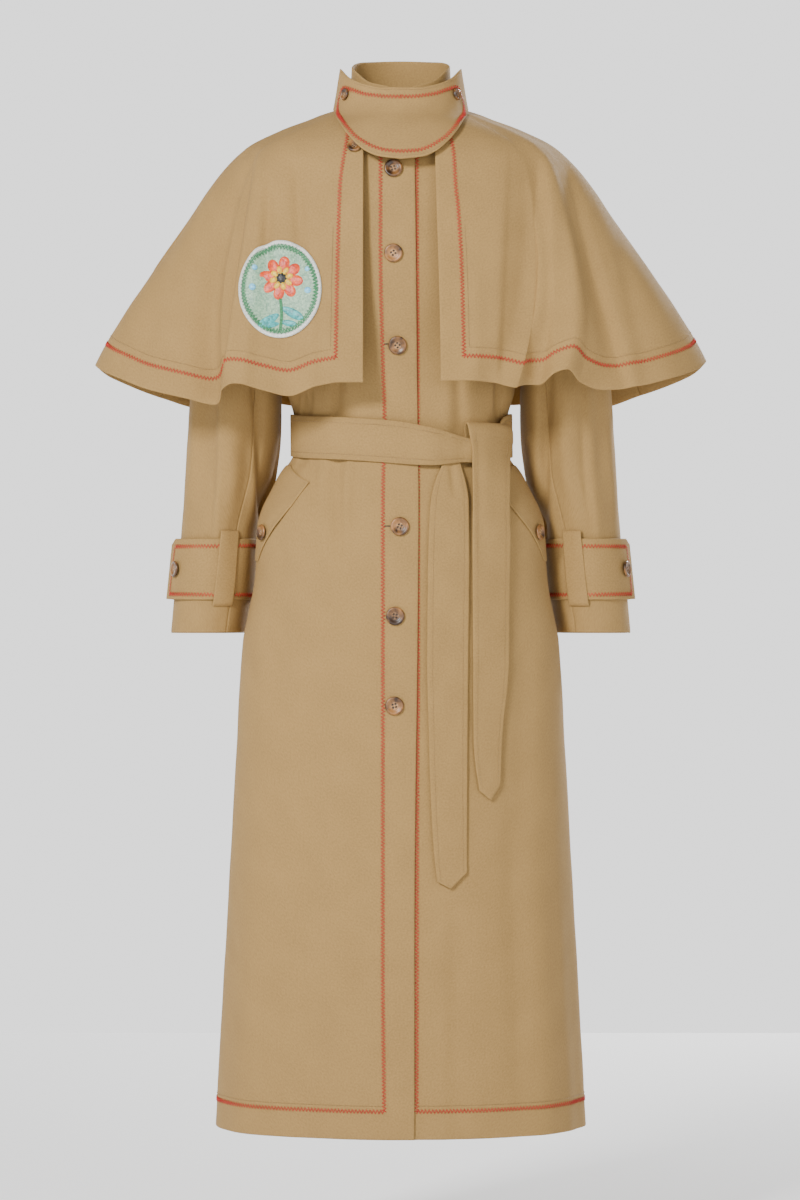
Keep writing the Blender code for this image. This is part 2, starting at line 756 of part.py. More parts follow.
def build_cape(parent):
    pieces = (
        ("cape_front_R", CAPE_R, CAPE_FLUTES_R, 0, 1, True),
        ("cape_front_L", CAPE_L, CAPE_FLUTES_L, 0, 1, False),
        ("cape_back", CAPE_BACK, CAPE_FLUTES_BACK, 1, 1, False),
    )
    for name, surface, rows, first_seam, last_seam, right in pieces:
        last = len(rows["relief"]) - 1
        places = np.linspace(0, last, 2 * last + 1)
        places[0] += CAPE_SEAM_GAP * first_seam
        places[-1] -= CAPE_SEAM_GAP * last_seam
        place, z = np.meshgrid(places, np.array(CAPE_ROWS, float))
        points = surface(place, z)
        place = np.clip(place, RIM_MARGIN, last - RIM_MARGIN)
        z = np.clip(z, CAPE_ROWS[-1] + RIM_MARGIN, CAPE_ROWS[0] - RIM_MARGIN)
        facing = outward(points, normals(surface, place, z), np.array([0.0, 0.0, CAPE_ROWS[-1]]))
        if right:
            points, facing = mirrored(points), mirrored(facing)
        shell(name, parent, points, facing)


def build_neck(parent):
    angles = np.linspace(COLLAR["angle"][0], COLLAR["angle"][-1], COLLAR_COLUMNS + 1)
    angle, share = np.meshgrid(angles, np.linspace(0, 1, COLLAR_ROWS + 1))
    points = collar(angle, share)
    facing = outward(points, normals(collar, angle, share, step=LOCATE_STEP), np.zeros(3))
    shell("collar", parent, points, facing, wall=COLLAR_WALL)

    across, down = np.meshgrid(np.linspace(-1, 1, TAB_COLUMNS + 1), np.linspace(0, 1, TAB_ROWS + 1))
    points = tab(across, down)
    across = np.clip(across, RIM_MARGIN - 1, 1 - RIM_MARGIN)
    down = np.clip(down, RIM_MARGIN, 1 - RIM_MARGIN)
    facing = outward(points, normals(tab, across, down, step=LOCATE_STEP), np.zeros(3))
    shell("throat_tab", parent, points, facing, wall=COLLAR_WALL)


def build_band(parent):
    """The band is a straight strip, so its rows keep the waist's girth at the height of its middle."""
    steps = np.arange(BELT["angle"][0], BELT["angle"][-1] + 1, BELT_STEP)
    steps[-1] = BELT["angle"][-1]
    angle, share = np.meshgrid(steps, np.linspace(1, -1, 3))
    columns = [smooth(angle, BELT["angle"], BELT[name]) for name in ("z", "half_height", "stand_off")]
    z, half_height, stand_off = columns
    waist = np.full(angle.shape, BELT["z"].mean())
    points = plain_body(angle, waist)
    facing = outward(points, normals(plain_body, angle, waist), np.array([0.0, 0.0, BELT["z"].mean()]))
    facing[..., 2] = 0
    points[..., 2] = z + half_height * share
    # It leans out below, as far as the skirt under it does.
    lean = plain_body(angle, points[..., 2]) - points
    reach = np.maximum(np.sum(lean * facing, axis=-1), 0).max(axis=0)
    shell("belt_band", parent, points, facing, BELT_WALL, stand_off + BELT_WALL + reach)


def build_belt_end(name, parent, rows, point):
    last = len(rows["z"]) - 1

    def strip(across, along):
        at = {key: smooth(along, np.arange(last + 1), values) for key, values in rows.items()}
        x = at["left"] + (at["right"] - at["left"]) * across
        drop = np.interp(across, point["share"], point["drop"]) * (along > last - POINT_ROWS)
        z = at["z"] + drop * ease((rows["z"][-1] + POINT_LENGTH - at["z"]) / POINT_LENGTH)
        angle, level = locate(plain_body, x, z, END_START)
        away = normals(plain_body, angle, level)
        return plain_body(angle, level) + away * at["stand_off"][..., None]

    steps = np.sort(np.append(np.arange(last + 1.0), last - 0.5))
    across, along = np.meshgrid(np.linspace(0, 1, END_COLUMNS + 1), steps)
    points = strip(across, along)
    inside = np.clip(along, LOCATE_STEP, last - LOCATE_STEP)
    facing = normals(strip, across, inside, step=LOCATE_STEP)
    facing = facing * np.sign(-facing[-1, 0, 1])
    shell(name, parent, points, facing, BELT_WALL, stand_off=BELT_WALL / 2)


def build_pockets(parent):
    heights = np.linspace(POCKET["z"][0], POCKET["z"][-1], POCKET_ROWS + 1)
    heights[np.argmin(abs(heights - POCKET["z"][1]))] = POCKET["z"][1]
    front = np.interp(-heights, -POCKET["z"], POCKET["front_angle"])[:, None]
    angle = front + (POCKET_BACK_ANGLE - front) * np.linspace(0, 1, POCKET_COLUMNS + 1)
    z = np.broadcast_to(heights[:, None], angle.shape)
    middle = np.array([0.0, 0.0, POCKET["z"][0]])
    for side, sign in (("L", 1), ("R", -1)):
        points = plain_body(sign * angle, z)
        facing = outward(points, normals(plain_body, sign * angle, z), middle)
        shell(f"pocket_welt_{side}", parent, points, facing, TRIM_WALL, TRIM_WALL + POCKET_GAP)
        at, level = np.array(sign * POCKET_BUTTON_PLACE[0]), np.array(POCKET_BUTTON_PLACE[1])
        away = normals(body, at, level)
        spot = body(at, level) + away * (TRIM_WALL + POCKET_GAP)
        button(f"pocket_button_{side}", parent, spot, away, CUFF_BUTTON)


def button_mesh(name, width):
    """A round button with a soft rim and a dished face, turned about +Z, with its back at z = 0."""
    radius = width / 2
    corners = [(0.0, 0.0, 0.0), (0.0, 0.0, BUTTON_DISH)]
    for share, height in BUTTON_SECTION:
        for k in range(BUTTON_SIDES):
            turn = 2 * math.pi * k / BUTTON_SIDES
            corners.append((radius * share * math.cos(turn), radius * share * math.sin(turn), height))
    faces = []
    last = 2 + (len(BUTTON_SECTION) - 1) * BUTTON_SIDES
    for k in range(BUTTON_SIDES):
        after = (k + 1) % BUTTON_SIDES
        faces.append((0, 2 + after, 2 + k))
        faces.append((1, last + k, last + after))
        for level in range(len(BUTTON_SECTION) - 1):
            low, high = 2 + level * BUTTON_SIDES, 2 + (level + 1) * BUTTON_SIDES
            faces.append((low + k, low + after, high + after, high + k))
    mesh = bpy.data.meshes.new(name)
    mesh.from_pydata([tuple(MM * value for value in corner) for corner in corners], [], faces)
    return mesh


def button(name, parent, spot, away, width):
    """Sews a button on at a point of the cloth, facing away from it."""
    away = Vector(away).normalized()
    turned = away.to_track_quat("Z", "Y").to_matrix().to_4x4()
    matrix = Matrix.Translation((Vector(spot) + away * BUTTON_GAP) * MM) @ turned
    return add(name, button_mesh(name, width), parent, HORN, HORN_ROUGHNESS, matrix)


def build_buttons(parent):
    for number, (x, z) in enumerate(zip(FRONT_BUTTONS["x"], FRONT_BUTTONS["z"]), start=1):
        at = locate(body, np.array(x), np.array(z), (0.0, z))
        button(f"front_button_{number}", parent, body(*at), normals(body, *at), FRONT_BUTTON)
    for side, sign in (("L", 1), ("R", -1)):
        x, z = TAB_BUTTON_PLACE
        start = (sign * TAB_BUTTON_START[0], TAB_BUTTON_START[1])
        across, down = locate(tab, np.array(sign * x), np.array(z), start)
        away = normals(tab, across, down, step=LOCATE_STEP)
        button(f"tab_button_{side}", parent, tab(across, down), away * np.sign(-away[1]), TAB_BUTTON)
    x, z = CAPE_BUTTON_PLACE
    place, level = locate(CAPE_R, np.array(x), np.array(z), (CAPE_BUTTON_START, z))
    spot, away = CAPE_R(place, level), normals(CAPE_R, place, level)
    away = away * np.sign(-away[1])
    button("cape_button", parent, mirrored(spot), mirrored(away), CAPE_BUTTON)


def build_patch(parent):
    """An oval badge on the right cape front, made of the cape's own points moved out."""
    turns = np.radians(np.linspace(0, 360, PATCH_SIDES + 1))[:-1]
    shares = np.linspace(0, 1, PATCH_RINGS + 1)[1:]
    share, turn = np.meshgrid(shares, turns, indexing="ij")
    x = -PATCH_MIDDLE[0] + PATCH_HALF_WIDTH * share * np.cos(turn)
    z = PATCH_MIDDLE[1] + PATCH_HALF_HEIGHT * share * np.sin(turn)
    x = np.append(x.ravel(), -PATCH_MIDDLE[0])
    z = np.append(z.ravel(), PATCH_MIDDLE[1])
    place, level = locate(CAPE_R, x, z, PATCH_START)
    points = mirrored(CAPE_R(place, level))
    away = mirrored(normals(CAPE_R, place, level))
    away = outward(points, away, np.array([0.0, 0.0, PATCH_MIDDLE[1]]))
    count = len(x)
    corners = np.concatenate([points + away * (TRIM_GAP + TRIM_WALL), points + away * TRIM_GAP])
    faces = []
    for k in range(PATCH_SIDES):
        after = (k + 1) % PATCH_SIDES
        faces.append((count - 1, k, after))
        for level in range(PATCH_RINGS - 1):
            low, high = level * PATCH_SIDES, (level + 1) * PATCH_SIDES
            faces += [(low + k, high + k, high + after), (low + k, high + after, low + after)]
    faces += [tuple(k + count for k in reversed(face)) for face in faces]
    edge = (PATCH_RINGS - 1) * PATCH_SIDES
    for k in range(PATCH_SIDES):
        after = (k + 1) % PATCH_SIDES
        a, b = edge + k, edge + after
        faces += [(b, a, a + count), (b, a + count, b + count)]
    faces = np.array(faces)
    if signed_volume(corners, faces) < 0:
        faces = faces[:, ::-1]
    middle = corners.mean(axis=0)
    mesh = bpy.data.meshes.new("patch")
    mesh.from_pydata(((corners - middle) * MM).tolist(), [], faces.tolist())
    add("patch", mesh, parent, BADGE, CLOTH_ROUGHNESS, Matrix.Translation(Vector(middle * MM)))


def main():
    for obj in list(bpy.data.objects):
        bpy.data.objects.remove(obj)
    coat = bpy.data.objects.new("coat", None)
    bpy.context.scene.collection.objects.link(coat)
    build_fronts(coat)
    build_back(coat)
    build_sleeves(coat)
    build_cuffs(coat)
    build_cape(coat)
    build_neck(coat)
    build_band(coat)
    build_belt_end("belt_end_A", coat, END_A, POINT_A)
    build_belt_end("belt_end_B", coat, END_B, POINT_B)
    build_pockets(coat)
    build_buttons(coat)
    build_patch(coat)


main()
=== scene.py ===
"""The looks of the cape coat: its cloth, stitching, buttons and badge, with the floor, light and camera.

Sizes are in millimetres and angles in degrees until a mesh is made, which is in metres, as in the part.
"""

import math

import bpy
import numpy as np
from mathutils import Matrix, Vector


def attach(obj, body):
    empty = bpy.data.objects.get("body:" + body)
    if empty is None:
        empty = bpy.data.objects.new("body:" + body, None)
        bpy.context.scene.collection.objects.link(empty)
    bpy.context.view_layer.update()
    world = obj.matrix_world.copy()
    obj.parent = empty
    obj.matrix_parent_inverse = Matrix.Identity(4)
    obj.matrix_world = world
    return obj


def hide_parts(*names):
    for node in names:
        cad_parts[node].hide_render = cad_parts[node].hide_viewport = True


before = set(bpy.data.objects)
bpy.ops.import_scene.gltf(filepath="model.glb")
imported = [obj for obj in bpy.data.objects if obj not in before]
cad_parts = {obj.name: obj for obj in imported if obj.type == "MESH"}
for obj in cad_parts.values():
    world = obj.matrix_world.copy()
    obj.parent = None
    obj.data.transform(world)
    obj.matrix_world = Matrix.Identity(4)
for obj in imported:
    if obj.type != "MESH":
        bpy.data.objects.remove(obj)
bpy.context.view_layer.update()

MM = 0.001
MATERIALS = {}


def table(columns, *rows):
    """Each named column as an array, with one row for each section or fold."""
    return dict(zip(columns.split(), np.array(rows, float).T))


# Cloth and seams
WALL = 1.6
COLLAR_WALL = 2.4
BELT_WALL = 2.4
TRIM_WALL = 1.4
SEAM_ANGLE = 0.008
LAP_GAP = 1.2
TRIM_GAP = 0.7

# The closure: the right front's edge lies past the centre, and the left front reaches back under it.
UNDERLAP = 22.0
UNDERLAP_RISE = 40.0

# The armhole, an oval on the side of the body
ARM_MIDDLE = -135.0
ARM_HALF = 80.0
ARM_ANGLE = 29.0
ARM_STEP = 30.0
ARM_GAP = 0.8
SLEEVE_SEAM = 120.0
SLEEVE_BLEND = 2.5

SLEEVE_SEAM_GAP = 0.03

# The strap starts under itself in front, goes round behind and ends outside, where it sticks out.
CUFF_TOP = -527.0
CUFF_BOTTOM = -604.0
STRAP = table("angle stand_off", (-350, 10.5), (-338, 7), (-322, 4.6), (-290, 2.6), (30, 2.2))
STRAP_TIP_DROP = 7.0
LOOP = table("z stand_off", (-612, 2.2), (-607, 5), (-565, 5), (-524, 5), (-517, 2.2))
LOOP_ANGLE = 108.0
LOOP_HALF_ANGLE = 14.0

BUTTON_GAP = 0.5


BODY = table(
    "z half_width front back tilt",
    (4, 64, 62, 64, 12),
    (-14, 96, 77, 78, 9),
    (-34, 140, 91, 90, 4),
    (-55, 180, 101, 98, 0),
    (-95, 176, 112, 105, 0),
    (-135, 166, 118, 107, 0),
    (-175, 157, 121, 105, 0),
    (-215, 151, 120, 102, 0),
    (-300, 143, 110, 94, 0),
    (-345, 141, 104, 90, 0),
    (-374, 133, 101, 88, 0),
    (-410, 129, 99, 87, 0),
    (-427, 134, 101, 90, 0),
    (-449, 149, 106, 99, 0),
    (-468, 159, 110, 107, 0),
    (-492, 171, 114, 114, 0),
    (-511, 176.5, 117, 118, 0),
    (-530, 178, 118, 120, 0),
    (-579, 181.5, 120, 123, 0),
    (-630, 191, 122, 126, 0),
    (-653, 195.5, 123, 127, 0),
    (-802, 204.5, 130, 133, 0),
    (-1025, 217, 141, 142, 0),
    (-1254, 229.5, 150, 150, 0),
)

# The right front's edge wanders a little, because the belt draws it in.
EDGE = table("z x", (4, 16), (-58, 17), (-380, 20.5), (-480, 21.7), (-1030, 16.5), (-1254, 16.5))

# Gathers at the belt are hollows. The skirt's flutes stand out most at the hem.
BODY_FOLDS = table(
    "angle z_from z_most z_to depth half_angle",
    (-34, -290, -425, -560, -4.0, 9),
    (-62, -300, -400, -500, -3.0, 8),
    (33, -300, -420, -540, -3.0, 9),
    (60, -270, -395, -500, -4.0, 9),
    (118, -280, -415, -560, -4.0, 11),
    (146, -290, -420, -640, -5.0, 11),
    (176, -280, -415, -600, -4.0, 11),
    (205, -290, -420, -660, -5.0, 11),
    (236, -280, -415, -560, -4.0, 11),
    (-55, -560, -1254, -1300, 4.0, 17),
    (-24, -640, -1254, -1300, -3.0, 13),
    (48, -600, -1254, -1300, 4.0, 16),
    (74, -640, -1254, -1300, -3.0, 12),
    (128, -560, -1254, -1300, 6.0, 17),
    (158, -560, -1254, -1300, -6.0, 15),
    (188, -560, -1254, -1300, 7.0, 17),
    (220, -600, -1254, -1300, -5.0, 16),
    (247, -600, -1254, -1300, 5.0, 13),
)

# The left sleeve hangs a little outwards and back. Its first ring is the armhole.
SLEEVE = table(
    "outer_x outer_z inner_x inner_z half_depth y",
    (180, -55, 151, -215, 50, 0),
    (196, -74, 157, -228, 58, 1),
    (208, -104, 158, -242, 65, 3),
    (223, -145, 157, -264, 70, 7),
    (237, -190, 153, -294, 72, 11),
    (250, -245, 150, -326, 73, 17),
    (259, -305, 148, -358, 72, 24),
    (264, -360, 149, -395, 70, 32),
    (268, -430, 155, -448, 68, 42),
    (275, -520, 178, -520, 64, 50),
    (282, -580, 184, -580, 60, 52),
    (288, -645, 193, -645, 58, 52),
)
SLEEVE_LAST = len(SLEEVE["y"]) - 1
SLEEVE_FOLDS = table(
    "angle_top angle_cuff row_from row_most row_to depth half_angle",
    (52, 44, 4.0, 7.6, 9.6, -6.0, 24),
    (112, 118, 4.0, 7.8, 10.4, -7.0, 24),
    (78, 78, 4.0, 8.0, 11.0, 3.0, 20),
    (250, 262, 3.0, 7.0, 10.0, -6.0, 26),
    (310, 300, 4.0, 7.5, 10.5, -5.0, 24),
)

CAPE = table(
    "z half_width front back tilt",
    (7.5, 65.6, 63.6, 65.6, 12),
    (-2, 98, 78, 80, 11),
    (-9, 115, 85, 86, 9),
    (-21, 147, 95, 94, 6),
    (-40, 186, 107, 103, 2),
    (-58, 208, 116, 110, 0),
    (-95, 238, 127, 119, 0),
    (-133, 264, 133, 126, 0),
    (-170, 290, 137, 131, 0),
    (-207, 315, 140, 136, 0),
    (-244, 340, 143, 141, 0),
    (-281, 363, 146, 146, 0),
    (-312, 379, 149, 150, 0),
)
CAPE_EDGE_R = 45.5
CAPE_EDGE_L = 41.0
CAPE_EDGE_FLARE_L = 7.0
CAPE_SEAM = 127.0
# Half the groove at a cape seam, as a share of the step from one flute's row to the next
CAPE_SEAM_GAP = 0.001
FLUTE_START = -40.0

# One row for each ridge or hollow of the cape, from the front edge to the seam behind the shoulder.
# The first row's angles stand for the edge itself.
CAPE_FLUTES_R = table(
    "angle_shoulder angle_hem relief hem_z",
    (0, 0, 0, -342),
    (21, 11, 0, -342),
    (28, 15.3, 1, -346),
    (35, 21, -3, -358),
    (43, 25.8, 3, -351),
    (54, 31, 11, -343),
    (62, 35, 0, -350),
    (67, 38.2, -14, -366),
    (73, 44, -5, -359),
    (79, 53, 0, -349),
    (84, 68, 2, -329),
    (92, 90, 0, -313),
    (109, 109, 2, -327),
    (127, 127, 0, -349),
)
CAPE_FLUTES_L = table(
    "angle_shoulder angle_hem relief hem_z",
    (0, 0, 0, -340),
    (31, 12.5, 1, -340),
    (46, 17.4, -6, -342),
    (49, 21.6, 4, -347),
    (52.5, 26.4, -10, -343),
    (60, 30.8, 12, -326),
    (67, 35, 1, -341),
    (75, 41, -6, -349),
    (80, 49, 0, -344),
    (84, 60, 3, -333),
    (88, 74, 1, -320),
    (93, 90, 0, -308),
    (109, 109, 2, -325),
    (127, 127, 0, -346),
)
CAPE_FLUTES_BACK = table(
    "angle_shoulder angle_hem relief hem_z",
    (127, 127, 0, -346),
    (135, 137, -9, -361),
    (144, 147, 8, -344),
    (154, 157, -8, -356),
    (165, 168, 9, -342),
    (178, 179, -7, -354),
    (192, 190, 9, -343),
    (204, 201, -8, -357),
    (215, 212, 8, -345),
    (225, 223, -9, -362),
    (233, 233, 0, -349),
)

COLLAR = table(
    "angle rim_z",
    (14, 26),
    (40, 34),
    (65, 49),
    (90, 58),
    (130, 68),
    (180, 72),
    (230, 68),
    (270, 57),
    (295, 47),
    (320, 33),
    (346, 26),
)
COLLAR_TOP_HALF_WIDTH = 61.0
COLLAR_TOP_FRONT = 58.0
COLLAR_TOP_BACK = 63.0

# The throat tab stands off the collar and rests on the cape. `share` runs from its middle to its end.
TAB = table(
    "z half_width front",
    (60, 77.5, 73),
    (30, 80, 77),
    (12, 82.5, 81),
    (0, 87, 85),
    (-10, 97, 91),
    (-17, 115, 97),
    (-26, 145, 104),
    (-42, 186, 114),
    (-58, 208, 123),
    (-75, 220, 128),
)
TAB_TOP = table(
    "share x z",
    (0, 0, 22.5),
    (0.3, 21, 22.5),
    (0.6, 45, 28),
    (0.82, 62.5, 37),
    (1, 76, 52.5),
)
TAB_BOTTOM = table(
    "share x z",
    (0, 0, -70.5),
    (0.3, 27, -67),
    (0.48, 42.5, -60),
    (0.64, 55.5, -48.5),
    (0.8, 68.5, -32),
    (0.94, 81, -7),
    (1, 84, 2),
)

BELT = table(
    "angle z half_height stand_off",
    (41, -412, 15.5, 4.0),
    (58, -411, 15.5, 3.8),
    (67, -404, 25, 2.4),
    (84, -401, 27, 1.8),
    (95, -400, 27, 0.9),
    (180, -398, 27, 0.9),
    (270, -400, 26, 0.9),
    (300, -404, 26, 0.9),
    (330, -407.5, 26, 0.9),
    (356, -412, 26, 0.9),
    (376, -417.5, 23, 5.0),
    (393, -421, 15.5, 5.6),
    (400, -423, 14.0, 8.4),
)

# The two ends of the tie: height, the two edges and how far the cloth's middle stands off the coat.
# End A goes up behind the band, over its top and down in front of it.
END_A = table(
    "z left right stand_off",
    (-412, 77, 121, 3.2),
    (-398, 76, 122, 3.4),
    (-390.5, 75, 123, 5.5),
    (-387.5, 75, 123, 9.6),
    (-390.5, 75, 123, 13.8),
    (-399, 75.5, 123, 16.0),
    (-421, 79, 123.5, 16.0),
    (-455, 82.5, 126, 12.0),
    (-489, 84.5, 128, 8.4),
    (-554, 85.5, 131, 4.2),
    (-676, 86.5, 130, 3.4),
    (-773, 87, 121.5, 3.4),
    (-842, 93.5, 119.5, 3.4),
)
END_B = table(
    "z left right stand_off",
    (-426, 52, 70, 3.0),
    (-441, 49, 72, 3.2),
    (-458, 42, 77, 3.2),
    (-489, 35.5, 81.5, 3.0),
    (-560, 32.5, 82, 3.0),
    (-676, 31.5, 81, 3.0),
    (-773, 33.5, 80, 3.0),
    (-859, 36.5, 79.5, 3.0),
    (-915, 40, 79.5, 3.0),
    (-944, 43.5, 79.5, 3.0),
)
# Each end is cut to a point: share across the width, and how far below or above the last row it ends.
POINT_A = table("share drop", (0, 7), (0.55, -5), (1, 14))
POINT_B = table("share drop", (0, 0), (0.45, -9), (1, 11))
POINT_LENGTH = 40.0
POINT_ROWS = 3
END_START = (35.0, -600.0)

POCKET = table(
    "z front_angle",
    (-438, 73),
    (-460, 46),
    (-489, 51.5),
    (-505, 56.5),
    (-543, 73),
    (-556, 78),
)
POCKET_BACK_ANGLE = 86.0
POCKET_GAP = 1.0

# Heights and distances from the centre of what is buttoned on
FRONT_BUTTONS = table(
    "x z", (-9, -80.5), (-9, -184), (-4, -295), (-1.2, -515), (-6.8, -623.5), (-7.7, -732)
)
TAB_BUTTON_PLACE = (67.5, 17.0)
CAPE_BUTTON_PLACE = (56.0, -53.5)
POCKET_BUTTON_PLACE = (71.0, -521.0)
CUFF_BUTTON_PLACE = (30.0, -566.0)
CUFF_BUTTON_LIFT = 0.7

PATCH_MIDDLE = (-146.0, -228.0)
PATCH_HALF_WIDTH = 50.0
PATCH_HALF_HEIGHT = 59.0


# How locate() steps, and the most that one step may change each coordinate
LOCATE_STEP = 0.01
LOCATE_TURNS = 20
LOCATE_MOST = (8.0, 30.0)


# How finely the cloth is meshed: each direction's steps, and where its rims start, as a share of it
STEPS = {
    "back_round": (120, 0.003),
    "loop_round": (12, 0.04),
    "loop_down": (40, 0.01),
    "collar_round": (110, 0.003),
    "collar_up": (18, 0.02),
    "tab_across": (100, 0.005),
    "tab_down": (48, 0.01),
    "belt_round": (200, 0.002),
    "end_across": (22, 0.015),
    "pocket_across": (26, 0.01),
}
# The straps and the belt's band are flat from edge to edge, so they need only their edges and rims.
FLAT_STEPS = (0, 0.015, 0.985, 1)
SLEEVE_RIM = 0.004
CAPE_RIM = 0.002
FLUTE_STEPS = 12
NECK_ROWS = 14
ARM_TURN = 5
WAIST_STEP = 4.5
WAIST_END = -560
SKIRT_ROWS = 90
SLEEVE_TURN = 3.2
RIGHT_STEPS = (0, 1.2, 4, 8, 13, 18, 23, 28, 33, 38, 43, 48, 54, 60)
LEFT_STEPS = (0, 1.2, 5, 11, 17, 23, 29, 35, 40, 43, 47, 53, 60, 68, 76)
PANEL_COLUMNS = 62
PANEL_RIM = 0.995
SLEEVE_ROWS = 110
CAPE_ROWS = 84
POCKET_ROWS = 60
# How many points each line of stitches is traced through
TRACED = {
    "placket": 420,
    "front_hem": 200,
    "back_hem": 400,
    "cape_edge": 160,
    "cape_front_hem": 700,
    "cape_back_hem": 900,
    "pocket": 160,
    "tab": 300,
    "tab_edge": 160,
    "belt": 500,
    "belt_end": 400,
    "strap_end": 30,
    "buttonhole": 12,
    "stem": 30,
}
# How far from a hem the cloth starts to round off, and its wall at the rim as a share of the whole
HEM_RIM = 1.2
RIM_WALL = 0.4

# Stitching
ZIGZAG_PERIOD = 4.3
ZIGZAG_WIDTH = 5.2
THREAD_LIFT = 0.55
THREAD_ARCH = 0.15
# Each thread's slot, half its width and half its height
THREADS = {
    "thread": ("thread", 0.58, 0.38),
    "plain_thread": ("gabardine", 0.27, 0.22),
    # Painted shade: near-black tubes for the dark inside of the buttonhole slits, not real thread.
    "painted_hole_shade": ("thread", 0.4, 0.35),
    "badge_edge": ("badge", 0.56, 0.4),
    "badge_green": ("badge", 0.6, 0.4),
}
STITCH = 3.6
STITCH_HEIGHTS = (-0.25, 0.1, 0.1, -0.25)
PLAIN_LIFT = 0.25
PLAIN_STEP = 6.5
HEM_STITCH = -1220.0
HEM_STITCH_END = 89.8
PLACKET_TOP = -20.0
CAPE_STITCH = -284.6
CAPE_PLAIN_STEP = 9.5
# Where the plain line beside the cape's front edge starts, as a number of its points
CAPE_PLAIN_FIRST = 70
CAPE_EDGE_START = (1.0, -100.0)
CAPE_DRAWN_IN = 0.45
CAPE_DRAWN_WIDTH = 2.5
STRAP_MARGIN = 6.5
BAND_STITCH = 0.74
END_STITCH = 0.13
PATCH_TOP = 2.1
PATCH_START = (3.5, -215.0)
BUTTONHOLES = (-293.5, -514.5)
BUTTONHOLE = (-20.0, -11.5)
BUTTONHOLE_LIFT = 0.3
BUTTONHOLE_SIDES = (-0.35, 0.35)
POCKET_STITCH = 2.4
POCKET_LIFT = 1.5

# The badge's flower, in millimetres from its middle: inner and outer reach and width of a petal
FLOWER = (2.0, 13.0)
PETAL = (7, 27, 15.5)
INNER_PETAL = (5, 15, 8.0)
HEART = 6.5
LEAVES = table(
    "x z angle length width",
    (1, -22, 118, 32, 13),
    (0, -30, 238, 32, 13),
    (0, -40, 100, 22, 9),
    (0.5, -42, 262, 24, 9),
)
BUDS = table("x z size", (-33, 2, 4.2), (34, -2, 4.0), (-30, 26, 3.4), (33, 24, 3.2))
STEM = (-50.0, -12.0)
STEM_THREAD = (0.7, 0.6)
# How deep the rim of a padded shape is sunk, and the whipped edge's reach, lift and inner rings
DOME_SUNK = 0.4
EDGE_REACH = (0.925, 0.955, 0.99, 1.01)
EDGE_LIFT = (0.2, 0.75, 0.6, -0.9)
RING_REACH = (0.86, 0.895)

PLACKET_R = table(
    "z x",
    (4, -24.6),
    (-56, -24.6),
    (-172, -24.6),
    (-334, -21.2),
    (-378, -19.8),
    (-486, -21.7),
    (-1038, -21.7),
    (-1220, -20),
)
PLACKET_L = table("z x", (4, 20.5), (-100, 19.5), (-380, 21), (-700, 21), (-830, 20), (-1220, 19.2))
CAPE_EDGE_STITCH_R = table("z x", (-36, 64.5), (-105, 73.7), (-183, 76.1), (-312, 78.5))
CAPE_EDGE_STITCH_L = table(
    "z x", (-36, 59.5), (-62, 64), (-105, 66.5), (-126, 68.9), (-195, 73.1), (-312, 76.1)
)
# The tab's zigzag, all round
TAB_STITCH = table(
    "x z",
    (0, 10),
    (-20, 10.4),
    (-44, 14.5),
    (-61, 22.5),
    (-72, 27.5),
    (-76.5, 12),
    (-78, -6),
    (-67, -26.5),
    (-55, -41.5),
    (-36.5, -54),
    (-20, -60),
    (0, -61.5),
    (22, -60),
    (37, -54),
    (55, -41.5),
    (67, -26.5),
    (78.5, -6),
    (76.5, 12),
    (71, 28),
    (59, 23),
    (42, 15),
    (20, 10.8),
    (0, 10),
)

# How uneven each cloth is: the height and the length of its waves
UNEVEN = {
    "coat": (0.35, 38.0),
    "sleeve": (0.5, 26.0),
    "cape": (0.4, 34.0),
    "tab": (0.35, 24.0),
    "strap": (0.35, 19.0),
    "belt": (0.7, 22.0),
    "belt_end": (0.5, 21.0),
    "trim": (0.3, 38.0),
}

# Soft creases: a line from its top to its foot, its height or depth, and its reach to each side
CREASE_TAPER = 0.7
BODY_CREASES = table(
    "x_top z_top x_low z_low depth left right",
    (-128, -330, -130, -384, -3.5, 5, 4),
    (-119, -340, -121, -384, -2.5, 4, 4),
    (-111, -335, -113, -384, -3.0, 4, 4),
    (-76, -300, -80, -390, -5.0, 6, 7),
    (-108, -425, -106, -490, -4.0, 6, 7),
    (-77, -420, -76, -570, -5.5, 10, 6),
    (-52, -425, -60, -520, -3.0, 7, 6),
    (-150, -470, -146, -760, -3.0, 16, 12),
    (-104, -640, -118, -1300, -3.5, 22, 14),
    (-48, -800, -52, -1300, -2.5, 14, 18),
    (146, -480, 152, -900, -3.5, 14, 16),
    (64, -930, 66, -1320, -3.0, 12, 18),
    (132, -700, 150, -1320, -4.0, 16, 20),
    (70, -300, 74, -400, -4.0, 9, 6),
    (106, -300, 110, -396, 4.0, 9, 7),
    (120, -320, 121, -396, -5.0, 7, 5),
)
BACK_CREASES = table(
    "x_top z_top x_low z_low depth left right",
    (-70, -300, -64, -372, -3.0, 9, 7),
    (-20, -290, -24, -372, -3.0, 8, 9),
    (35, -300, 31, -372, -3.0, 8, 8),
    (84, -295, 80, -372, -3.0, 9, 7),
    (-55, -425, -60, -540, -3.5, 9, 8),
    (10, -425, 14, -560, -3.5, 8, 9),
    (66, -425, 72, -530, -3.0, 9, 8),
)
CAPE_CREASES_R = table(
    "x_top z_top x_low z_low depth left right",
    (181, -46, 238, -430, -10.0, 5, 36),
    (163, -60, 200, -430, 4.0, 12, 9),
    (161, -80, 166, -235, -6.0, 8, 7),
    (129, -65, 119, -215, -5.0, 9, 8),
    (262, -80, 345, -420, -4.0, 14, 20),
    (96, -200, 99, -420, -1.5, 8, 8),
)
